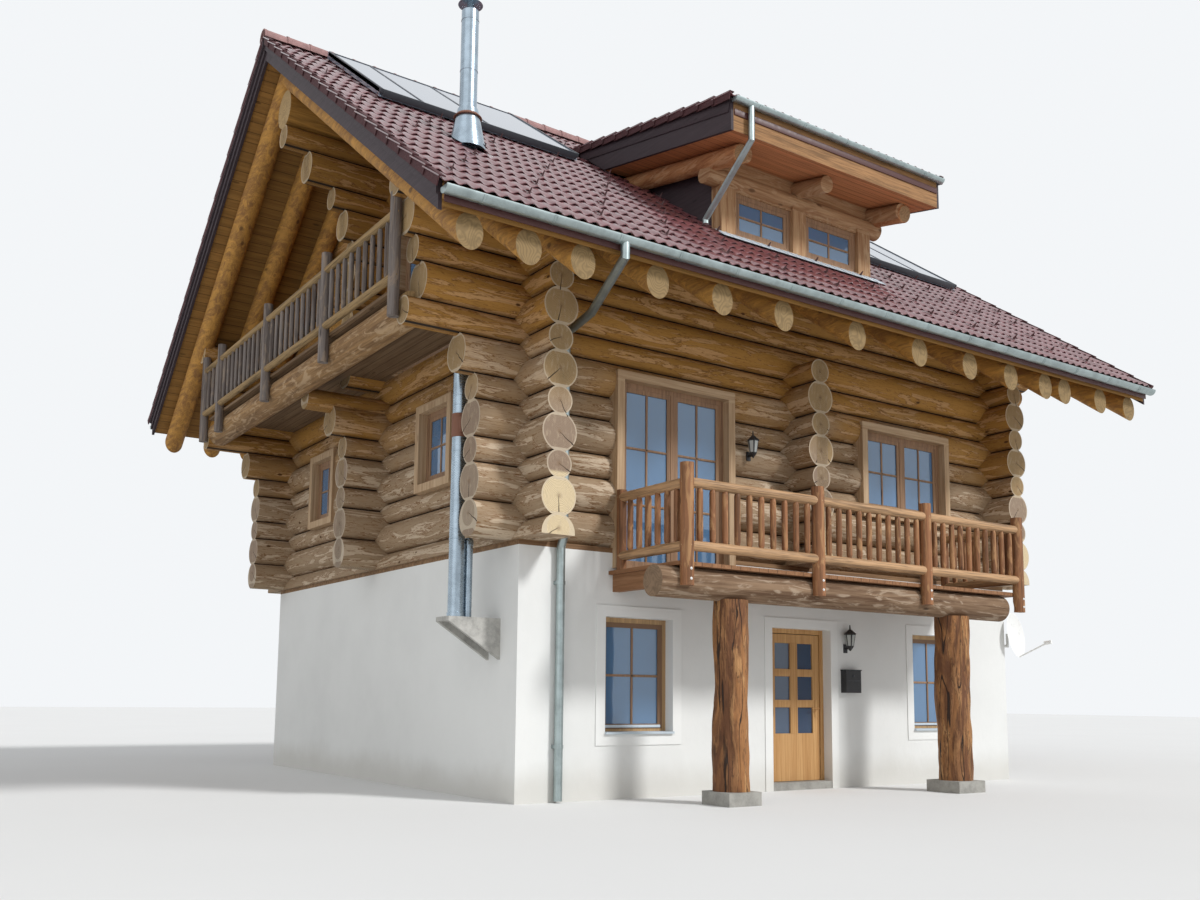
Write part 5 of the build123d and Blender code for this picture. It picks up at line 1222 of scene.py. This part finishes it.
def make_ridge(tree, sizes):
    """Ridge tiles that lap over each other."""
    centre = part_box("ridge_tiles")[1].z - ridge_tile_radius
    count = round((roof_high.x - roof_low.x) / sizes.ridge_tile_length)
    step = (roof_high.x - roof_low.x) / count
    outline = ((0.0, 0.125), (0.03, 0.125), (0.034, 0.119), (step, 0.113), (step + 0.02, 0.113))
    thickness = 0.014
    start, sweep, segments = radians(-12.0), radians(204.0), 12

    def build(shape):
        rings = []
        for x, radius in outline:
            angles = [start + sweep * index / segments for index in range(segments + 1)]
            outer = [around_x(x, angle, radius) for angle in angles]
            inner = [around_x(x, angle, radius - thickness) for angle in angles]
            rings.append(outer + list(reversed(inner)))
        bridge(shape, rings)

    tile = piece_from("ridge_tile", build, "ridge_clay")
    piece = grown("ridge_clay_tiles", tree, tile, "ridge_clay", {
        "Count": count, "Start": Vector((roof_low.x, 0.0, centre)), "Step": Vector((step, 0.0, 0.0)),
        "Unevenness": (0.0, 0.0015, 0.0), "Seed": 8,
    })
    bpy.data.objects.remove(tile)
    clip_box(piece)
    dress(piece, replaced=("ridge_tiles",))


def verge_row(tree, sizes, side, edge, low, slope, rows, tuck):
    """One row of turned-down tiles up a verge; side is 1 on the left and -1 on the right."""
    length = up_slope(sizes.tile_gauge + tile_lap, slope)
    place = laid_on(slope, 0.0, 0.0)
    outline = ((0.0, -0.105), (0.0, 0.004), (0.07, 0.004), (0.07, -0.008), (0.013, -0.008), (0.013, -0.105))

    def build(shape):
        rings = []
        for along, sink, inward in ((0.0, 0.0, 0.0), (length, tile_drop(sizes), tuck)):
            rings.append([place @ Vector((side * (x + inward), along, rise - sink)) for x, rise in outline])
        bridge(shape, rings)

    tile = piece_from("verge_tile", build, "verge_clay")
    piece = grown("verge", tree, tile, "verge_clay", {
        "Count": rows, "Start": Vector((edge, low.y, low.z)),
        "Step": Vector((0.0, sizes.tile_gauge, sizes.tile_gauge * slope)),
        "Unevenness": (0.0, 0.001, 0.001), "Seed": 3,
    })
    bpy.data.objects.remove(tile)
    return piece


def make_verge_tiles(tree, sizes):
    """Turned-down tiles along both edges of both slopes and of the dormer."""
    front_tuck, rear_tuck = 0.018, 0.009
    rows = int((roof_high.y - roof_low.y) / sizes.tile_gauge) + 1
    eave = Vector((0.0, roof_low.y, roof_surface(roof_low.y)))
    dormer_eave = Vector((0.0, dormer_low.y, dormer_eave_height))
    dormer_rows = int((dormer_high.y - dormer_low.y) / sizes.tile_gauge)
    parts = []
    for side, edge, dormer_edge in ((1, roof_low.x, dormer_low.x), (-1, roof_high.x, dormer_high.x)):
        for mirrored, tuck in ((False, front_tuck), (True, rear_tuck)):
            piece = verge_row(tree, sizes, side, edge, eave, roof_slope, rows, tuck)
            trim(piece, (over_ridge,))
            if mirrored:
                piece.data.transform(Matrix.Scale(-1.0, 4, (0.0, 1.0, 0.0)))
                piece.data.flip_normals()
            parts.append(piece)
        parts.append(verge_row(
            tree, sizes, side, dormer_edge, dormer_eave, dormer_slope, dormer_rows, front_tuck,
        ))
    verges = joined("verge_tiles", parts)
    clip_box(verges)
    dress(verges)


def make_dormer_trim():
    """Upper barge boards of the dormer and the dark strip across its front."""
    start, depth = 0.045, 3.35
    outer, inner = 0.048, 0.062
    board_low, board_high = -0.24, -0.062
    strip_low, strip_high = 8.335, 8.415
    low, high = dormer_roof_low, dormer_roof_high

    def boards(shape):
        place = laid_on(dormer_slope, dormer_low.y + start, dormer_eave_height + start * dormer_slope)
        reach = up_slope(depth, dormer_slope)
        left, right = dormer_low.x, dormer_high.x
        for x0, x1 in ((left + outer, left + inner), (right - inner, right - outer)):
            add_boxes(shape, (((x0, 0.0, board_low), (x1, reach, board_high)),), 0.002, place)

    dress(piece_from("dormer_barge_caps", boards, "verge_boards"))

    # The dark strip stands for a drip strip and for painted shadow under the dormer's gutter.
    def strip(shape):
        foot = (low.x + 0.01, low.y - 0.014, strip_low)
        head = (high.x - 0.01, low.y + 0.001, strip_high)
        add_box(shape, foot, head, 0.003)

    dress(piece_from("dormer_front_strip", strip, "drip_paint"))


def make_cheek_logs():
    """The logs that lie on the dormer's cheeks and reach out below its overhang."""
    radius, front, back = 0.13, -4.715, -2.0
    clearance = 0.002
    steps, wobble = 14, 0.006
    up = slope_axes(dormer_slope)[0]
    length = (back - front) / up.y
    under = dormer_roof_low.z + (front - dormer_roof_low.y) * dormer_slope

    def build(shape):
        for x in (dormer_opening[0] - radius, dormer_opening[1] + radius):
            outline = [(radius - 0.018, 0.0), (radius - 0.004, 0.014)]
            for step in range(1, steps + 1):
                lump = noise.noise(Vector((x, 0.0, step * 0.9)))
                outline.append((radius - wobble + wobble * lump, length * step / steps))
            add_turned(shape, (x, front, under - radius / up.y - clearance), up, outline, 24)

    dress(piece_from("dormer_cheek_logs", build, "timber_cheek"))


# Metal on the roof
def make_snow_hooks(sizes):
    """Upright hooks that hold the snow, staggered over the front slope."""
    strap = ((-0.012, 0.0, 0.001), (0.012, 0.16, 0.005))
    profile = ((0.0, 0.004), (0.045, 0.004), (0.012, 0.07), (0.0, 0.07))
    half_thickness = 0.003
    first_x, first_y = 0.3, 0.04
    place = laid_on(roof_slope, 0.0, 0.0)

    def build(shape):
        add_boxes(shape, (strap,), 0.001, place)
        bridge(shape, [
            [place @ Vector((x, y, z)) for y, z in profile] for x in (-half_thickness, half_thickness)
        ])

    hook = piece_from("snow_hook", build, "hook_metal")
    field = tile_field_tree((dormer_opening, flue_opening) + collectors)
    parts = []
    spacing = 6 * sizes.wave_width
    row_step = 4 * sizes.tile_gauge
    for shift, row in ((0.0, 1), (spacing / 2, 3)):
        y = roof_low.y + row * sizes.tile_gauge + first_y
        parts.append(grown("hooks", field, hook, "hook_metal", {
            "Columns": 13, "Rows": 4, "Column spacing": spacing, "Row spacing": row_step,
            "Slope": roof_slope, "Start": Vector((roof_low.x + first_x + shift, y, roof_surface(y))),
            "Unevenness": (0.004, 0.002, 0.0), "Seed": 6,
        }))
    bpy.data.objects.remove(hook)
    dress(joined("snow_hooks", parts))


def gutter_bracket(shape, radius):
    """A strap with two raised edges round a gutter, and a spring over its top."""
    start, sweep, segments = radians(-172.0), radians(164.0), 12
    inset = -0.0005
    for x0, x1, proud in ((-0.022, -0.008, 0.004), (0.008, 0.022, 0.004), (-0.008, 0.008, 0.0015)):
        corners = ((x0, inset), (x1, inset), (x1, proud), (x0, proud))
        rings = []
        for index in range(segments + 1):
            angle = start + sweep * index / segments
            rings.append([around_x(x, angle, radius + out) for x, out in corners])
        bridge(shape, rings)
    add_box(shape, (-0.011, 0.002 - radius, -0.004), (0.011, radius, 0.0), 0.001)


def make_gutter_brackets(tree, sizes):
    """Brackets along the eaves gutters and the dormer's gutter."""
    drain_low, drain_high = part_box("dormer_drainage")
    rows = (
        (gutter_radius, gutter_low.y + gutter_radius, gutter_high.z, gutter_low.x, gutter_high.x),
        (gutter_radius, gutter_high.y - gutter_radius, gutter_high.z, gutter_low.x, gutter_high.x),
        (dormer_gutter_radius, drain_low.y + dormer_gutter_radius, drain_high.z, drain_low.x, drain_high.x),
    )
    parts = []
    for radius, y, z, start_x, end_x in rows:
        bracket = piece_from("bracket", lambda shape: gutter_bracket(shape, radius), "zinc")
        count = round((end_x - start_x) / sizes.ring_spacing)
        step = (end_x - start_x) / count
        parts.append(grown("brackets", tree, bracket, "zinc", {
            "Count": count, "Start": Vector((start_x + step / 2, y, z)), "Step": Vector((step, 0.0, 0.0)),
            "Unevenness": (0.03, 0.0, 0.0), "Seed": 2,
        }))
        bpy.data.objects.remove(bracket)
    dress(joined("gutter_brackets", parts))


def make_roof_metal():
    """Dark drip strips under the gutters and the pale flashing at the foot of the dormer."""
    eaves_low, eaves_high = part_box("eaves_boards")
    thickness, lap = 0.012, 0.001
    apron = 0.24
    seams, seam_half_width = 20, 0.004

    def drips(shape):
        front = (eaves_low.y - thickness, eaves_low.y + lap)
        rear = (eaves_high.y - lap, eaves_high.y + thickness)
        for y0, y1 in (front, rear):
            foot = (eaves_low.x, y0, eaves_low.z - 0.04)
            head = (eaves_high.x, y1, eaves_high.z - 0.001)
            add_box(shape, foot, head, 0.002)

    dress(piece_from("eaves_drip_strips", drips, "drip_paint"))

    def flashing(shape):
        x0, x1, y0 = dormer_opening[:3]
        place = laid_on(roof_slope, y0, roof_surface(y0))
        add_boxes(shape, (((x0 - 0.12, -apron, 0.001), (x1 + 0.12, 0.0, 0.006)),), 0.001, place)
        for index in range(seams):
            x = x0 - 0.1 + (x1 - x0 + 0.2) * index / (seams - 1)
            seam = ((x - seam_half_width, -apron, 0.006), (x + seam_half_width, 0.0, 0.012))
            add_boxes(shape, (seam,), 0.001, place)

    dress(piece_from("dormer_flashing", flashing, "sill_metal"))


def make_collector_frames():
    """Metal rims and joints on the collectors."""
    rim, lap, top = 0.035, -0.006, collector_height
    joint_half_width = 0.02

    def build(shape):
        for (x0, x1, y0, y1), joints in zip(collectors, collector_joints):
            place = laid_on(roof_slope, y0, roof_surface(y0))
            reach = up_slope(y1 - y0, roof_slope)
            bars = [
                ((x0 + rim, lap, 0.012), (x1 - rim, rim, top + 0.008)),
                ((x0 + rim, reach - rim, top - 0.03), (x1 - rim, reach, top + 0.008)),
                ((x0, lap, top - 0.05), (x0 + rim, reach, top + 0.012)),
                ((x1 - rim, lap, top - 0.05), (x1, reach, top + 0.012)),
            ]
            for x in joints:
                low = (x - joint_half_width, rim, top - 0.02)
                high = (x + joint_half_width, reach - rim, top + 0.006)
                bars.append((low, high))
            add_boxes(shape, bars, 0.002, place)

    dress(piece_from("collector_frames", build, "dark_metal"))


def make_flue_rings():
    """Joint rings, the cleanout, the second short pipe and the rain collar of the flue."""
    x, y = flue_axis
    up = (0.0, 0.0, 1.0)
    sides = 32

    def band(shape, radius, level, proud, distances):
        """A ring proud of the pipe, its outline given by four distances above a level."""
        radii = (radius - 0.002, radius + proud, radius + proud, radius - 0.002)
        add_turned(shape, (x, y, level), up, list(zip(radii, distances)), sides)

    def rings(shape):
        for radius, levels in ((flue_radius, flue_ring_levels), (flue_head_radius, flue_head_ring_levels)):
            for level in levels:
                band(shape, radius, level, 0.004, (0.0, 0.003, 0.012, 0.015))
        band(shape, flue_radius, flue_foot, 0.008, (0.0, 0.0, 0.05, 0.055))

    dress(piece_from("flue_rings", rings, "flue_steel"))

    def cleanout(shape):
        band(shape, flue_radius, flue_cleanout_level, 0.006, (0.0, 0.004, 0.276, 0.28))
        add_box(shape, (x - 0.05, y - 0.112, 4.18), (x + 0.05, y - 0.06, 4.36), 0.006)

    dress(piece_from("flue_cleanout", cleanout, "rusty_metal"))

    def branch(shape):
        add_turned(shape, (x + 0.155, y + 0.01, flue_foot - 0.01), up, (
            (0.056, 0.0), (0.056, 0.012), (0.05, 0.016), (0.05, 0.84), (0.056, 0.844), (0.056, 0.90),
            (0.04, 0.925), (0.012, 0.93),
        ), 24)

    dress(piece_from("flue_drain", branch, "flue_steel"))

    def collar(shape):
        outline = ((0.170, 0.0), (0.172, 0.006), (0.108, 0.075), (0.104, 0.070))
        add_turned(shape, (x, y, flue_collar_level), up, outline, sides)

    dress(piece_from("flue_rain_collar", collar, "rusty_metal"))


# Bars of the windows and of the entrance door
def make_window_bars(sizes):
    """Glazing bars on both faces of every pane."""
    half = sizes.bar_width / 2
    proud = 0.012
    narrow_pane, low_pane = 0.4, 1.5

    def build(shape):
        for low, high in loose_boxes("window_glass"):
            thin, wide = (0, 1) if high.x - low.x < high.y - low.y else (1, 0)
            columns = 2 if high[wide] - low[wide] > narrow_pane else 1
            rows = 3 if high.z - low.z > low_pane else 2
            cuts = [(wide, low[wide] + (high[wide] - low[wide]) * n / columns) for n in range(1, columns)]
            cuts += [(2, low.z + (high.z - low.z) * n / rows) for n in range(1, rows)]
            for axis, place in cuts:
                start, end = low.copy(), high.copy()
                start[thin] -= proud
                end[thin] += proud
                start[axis] = place - half
                end[axis] = place + half
                add_box(shape, start, end, 0.004)

    dress(piece_from("window_bars", build, "joinery"))


def make_rain_bars():
    """Pale metal rain bars outside the foot of the ground-floor sashes."""
    ground_floor_top = 2.0
    overhang = 0.03
    near, far = 0.008, 0.035
    drop, height = 0.045, 0.012

    def build(shape):
        for low, high in loose_boxes("window_glass"):
            if low.z > ground_floor_top:
                continue
            foot, head = low.z - drop, low.z - height
            if high.y - low.y < high.x - low.x:
                start = (low.x - overhang, low.y - far, foot)
                end = (high.x + overhang, low.y - near, head)
            else:
                start = (high.x + near, low.y - overhang, foot)
                end = (high.x + far, high.y + overhang, head)
            add_box(shape, start, end, 0.004)

    dress(piece_from("sash_rain_bars", build, "sill_metal"))


def make_door_bars():
    """Broad bars between the panes of the entrance door, over the narrow ones that hold the glass."""
    half_width, half_height = 0.066, 0.05
    proud, lap, step_back = 0.002, 0.01, 0.0015
    low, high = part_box("entrance_door_glass")
    front = (low.y + high.y - door_thickness) / 2 - proud
    back = (low.y + high.y + door_thickness) / 2 + proud
    middle = (low.x + high.x) / 2
    left, right = middle - half_width, middle + half_width
    row = (high.z - low.z + door_bar) / 3

    def build(shape):
        add_box(shape, (left, front, low.z - lap), (right, back, high.z + lap), 0.004)
        for count in (1, 2):
            level = low.z + row * count - door_bar / 2
            foot, head = level - half_height, level + half_height
            for x0, x1 in ((low.x - lap, left), (right, high.x + lap)):
                add_box(shape, (x0, front + step_back, foot), (x1, back - step_back, head), 0.003)

    dress(piece_from("door_bars", build, "joinery_door"), "entrance_door")


# Balcony and fittings
def make_bolts():
    """Coach bolts through the feet of the balcony posts."""
    outline = ((0.016, 0.0), (0.016, 0.004), (0.011, 0.0045), (0.010, 0.011), (0.004, 0.014))

    def build(shape):
        for x in balcony_post_places:
            for level in bolt_levels:
                add_turned(shape, (x, balcony_post_front + 0.004, level), (0.0, -1.0, 0.0), outline, 12)

    dress(piece_from("post_bolts", build, "white_paint"))


def make_supports():
    """The balcony's supports as knobbly trunks, cut off level under the beam."""
    swelling, lump_reach, knot_reach = 1.03, 0.034, 0.016

    def build(shape):
        for low, high in loose_boxes("balcony_supports"):
            middle = (low + high) / 2
            radius = (high.x - low.x) / 2
            rings = []
            for step in range(support_rings + 1):
                level = low.z + (support_top - low.z) * step / support_rings
                ring = []
                for turn in range(support_sides):
                    angle = 2 * pi * turn / support_sides
                    out = Vector((cos(angle), sin(angle), 0.0))
                    lumps = noise.noise(out * 0.8 + Vector((middle.x, 0.0, level * 1.3)))
                    knots = noise.noise(out * 2.4 + Vector((middle.x, 3.0, level * 3.6)))
                    reach = radius * swelling + lump_reach * lumps + knot_reach * knots
                    ring.append(Vector((middle.x, middle.y, level)) + out * reach)
                rings.append(ring)
            bridge(shape, rings)

    trunks = piece_from("balcony_support_trunks", build, "balcony_upright")
    dress(trunks, replaced=("balcony_supports",))


def cage_point(middle, foot, side, level):
    """A corner of a lantern's six-sided cage, at a level above its foot."""
    cage_foot, cage_height = 0.06, 0.17
    foot_radius, widening = 0.050, 0.028
    x, y = middle
    share = (level - cage_foot) / cage_height
    radius = foot_radius + widening * share
    angle = radians(60 * side)
    return Vector((x + cos(angle) * radius, y + sin(angle) * radius, foot + level))


def make_lantern_glass():
    """Pale panes in the black cages of the lanterns, and the letterbox's lock and slot."""
    pane_levels = (0.072, 0.218)
    pane_edges = (0.16, 0.84)
    inward, outward = 0.002, 0.0015

    def build(shape):
        for x, y, foot in lanterns:
            for side in range(6):
                corners = []
                for level in pane_levels:
                    first = cage_point((x, y), foot, side, level)
                    second = cage_point((x, y), foot, side + 1, level)
                    corners.append([first.lerp(second, share) for share in pane_edges])
                (a, b), (d, c) = corners
                pane = (a, b, c, d)
                out = (b - a).cross(d - a).normalized()
                if out.dot(a - Vector((x, y, a.z))) < 0:
                    out = -out
                bridge(shape, [[p - out * inward for p in pane], [p + out * outward for p in pane]])

    dress(piece_from("lantern_panes", build, "lantern_glass"))

    def lock(shape):
        x, y, z = letterbox_front
        outline = ((0.013, 0.0), (0.013, 0.012), (0.010, 0.014))
        add_turned(shape, (x, y + 0.01, z), (0.0, -1.0, 0.0), outline, 16)
        low = (x - 0.12, y + 0.004, letterbox_slot_level)
        high = (x + 0.12, y + 0.011, letterbox_slot_level + 0.006)
        add_box(shape, low, high, 0.001)

    dress(piece_from("letterbox_lock", lock, "dark_metal"))


# Stage
def make_camera(scene):
    """The photo's camera."""
    camera_data = bpy.data.cameras.new("camera")
    camera = bpy.data.objects.new("camera", camera_data)
    scene.collection.objects.link(camera)
    scene.camera = camera
    yaw, pitch, roll = radians(34.266), radians(7.111), radians(0.548)
    place = Vector((-10.653, -14.924, 1.165))
    right = Vector((cos(yaw), -sin(yaw), 0.0))
    forward = Vector((sin(yaw) * cos(pitch), cos(yaw) * cos(pitch), sin(pitch)))
    up = right.cross(forward)
    tilted_right = right * cos(roll) + up * sin(roll)
    tilted_up = up * cos(roll) - right * sin(roll)
    turn = Matrix((tilted_right, tilted_up, -forward)).transposed().to_4x4()
    camera.matrix_world = Matrix.Translation(place) @ turn
    camera_data.lens = 33.72
    camera_data.sensor_width = 36.0
    camera_data.shift_y = 0.09
    camera_data.clip_end = 300.0


def make_floor(scene):
    """A wide pale floor, part of the stage."""
    reach = 90.0
    corners = [(-reach, -reach, 0.0), (reach, -reach, 0.0), (reach, reach, 0.0), (-reach, reach, 0.0)]
    floor_mesh = bpy.data.meshes.new("floor")
    floor_mesh.from_pydata(corners, [], [(0, 1, 2, 3)])
    floor_object = bpy.data.objects.new("floor", floor_mesh)
    scene.collection.objects.link(floor_object)
    ground = Finish("studio_floor", 0.95)
    ground.colour(ground.mix(ground.noise(ground.place, 0.3, 2.0), (0.72, 0.72, 0.71), (0.75, 0.75, 0.74)))
    floor_mesh.materials.append(finishes["studio_floor"])


def make_lamps(scene):
    """A key lamp from the camera's right and a soft fill lamp from its left."""
    for name, turn, strength, angle in (
        ("key", (radians(52), 0.0, radians(28)), 2.5, radians(10)),
        ("fill", (radians(64), 0.0, radians(-62)), 0.45, radians(60)),
    ):
        lamp = bpy.data.lights.new(name, "SUN")
        lamp.energy = strength
        lamp.angle = angle
        lamp_object = bpy.data.objects.new(name, lamp)
        lamp_object.rotation_euler = turn
        scene.collection.objects.link(lamp_object)


def make_world(scene):
    """A pale surrounding, brighter where the camera or a mirroring pane looks at it."""
    world = bpy.data.worlds.new("studio")
    scene.world = world
    world.use_nodes = True
    sky = Tree(world.node_tree)
    background = world.node_tree.nodes["Background"]
    background.inputs["Strength"].default_value = 0.58
    background.inputs["Color"].default_value = (0.95, 0.97, 1.0, 1.0)
    seen = sky.run("ShaderNodeBackground", {"Color": (0.90, 0.92, 0.94, 1.0), "Strength": 1.0})
    path = sky.add("ShaderNodeLightPath")
    direct = sky.calc("MAXIMUM", path.outputs["Is Camera Ray"], path.outputs["Is Transmission Ray"])
    direct = sky.calc("MAXIMUM", direct, path.outputs["Is Glossy Ray"])
    blend = sky.run("ShaderNodeMixShader", {0: direct, 1: background.outputs[0], 2: seen})
    sky.feed(world.node_tree.nodes["World Output"].inputs["Surface"], blend)


def make_stage():
    """Camera, lamps, floor and a pale surrounding."""
    scene = bpy.context.scene
    scene.view_settings.view_transform = "Standard"
    make_camera(scene)
    make_floor(scene)
    make_lamps(scene)
    make_world(scene)


class CHALET_OT_finishes(bpy.types.Operator):
    """Give every wall, log, board and pipe of the model its finish"""

    bl_idname = "chalet.finishes"
    bl_label = "Finishes"

    def execute(self, context):
        make_finishes(context.scene.chalet_colours)
        dress_nodes()
        return {"FINISHED"}


class CHALET_OT_tiles(bpy.types.Operator):
    """Cover the slopes with tiles"""

    bl_idname = "chalet.tiles"
    bl_label = "Roof tiles"

    def execute(self, context):
        make_tiles(context.scene.chalet_sizes)
        return {"FINISHED"}


class CHALET_OT_ridge(bpy.types.Operator):
    """Lay the ridge and verge tiles and add the dormer's boards and logs and the gutter brackets"""

    bl_idname = "chalet.ridge"
    bl_label = "Edges of the roof"

    def execute(self, context):
        sizes = context.scene.chalet_sizes
        tree = row_tree()
        make_ridge(tree, sizes)
        make_verge_tiles(tree, sizes)
        make_dormer_trim()
        make_cheek_logs()
        make_gutter_brackets(tree, sizes)
        return {"FINISHED"}


class CHALET_OT_roof_metal(bpy.types.Operator):
    """Add snow hooks, drip strips, flashing, collector frames and the rings of the flue"""

    bl_idname = "chalet.roof_metal"
    bl_label = "Roof metalwork"

    def execute(self, context):
        make_snow_hooks(context.scene.chalet_sizes)
        make_roof_metal()
        make_collector_frames()
        make_flue_rings()
        return {"FINISHED"}


class CHALET_OT_joinery(bpy.types.Operator):
    """Add glazing bars and rain bars to the windows and broad bars to the entrance door"""

    bl_idname = "chalet.joinery"
    bl_label = "Window and door bars"

    def execute(self, context):
        make_window_bars(context.scene.chalet_sizes)
        make_rain_bars()
        make_door_bars()
        return {"FINISHED"}


class CHALET_OT_fittings(bpy.types.Operator):
    """Add bolts, lantern panes, the letterbox lock and the trunks under the balcony"""

    bl_idname = "chalet.fittings"
    bl_label = "Small fittings and trunks"

    def execute(self, context):
        make_bolts()
        make_lantern_glass()
        make_supports()
        return {"FINISHED"}


class CHALET_OT_stage(bpy.types.Operator):
    """Set the camera, the lamps and the floor"""

    bl_idname = "chalet.stage"
    bl_label = "Stage"

    def execute(self, context):
        make_stage()
        return {"FINISHED"}


steps = (
    CHALET_OT_stage, CHALET_OT_finishes, CHALET_OT_tiles, CHALET_OT_ridge, CHALET_OT_roof_metal,
    CHALET_OT_joinery, CHALET_OT_fittings,
)


class CHALET_PT_panel(bpy.types.Panel):
    """Has a button for every step of the chalet's finish"""

    bl_idname = "CHALET_PT_panel"
    bl_label = "Chalet"
    bl_space_type = "VIEW_3D"
    bl_region_type = "UI"
    bl_category = "Chalet"

    def draw(self, context):
        for step in steps:
            self.layout.operator(step.bl_idname)


classes = (ChaletSizes, ChaletColours) + steps + (CHALET_PT_panel,)


def register():
    for item in classes:
        bpy.utils.register_class(item)
    bpy.types.Scene.chalet_sizes = bpy.props.PointerProperty(type=ChaletSizes)
    bpy.types.Scene.chalet_colours = bpy.props.PointerProperty(type=ChaletColours)


def unregister():
    del bpy.types.Scene.chalet_colours
    del bpy.types.Scene.chalet_sizes
    for item in reversed(classes):
        bpy.utils.unregister_class(item)


def main():
    register()
    for step in steps:
        group, name = step.bl_idname.split(".")
        getattr(getattr(bpy.ops, group), name)()


if __name__ == "__main__":
    main()
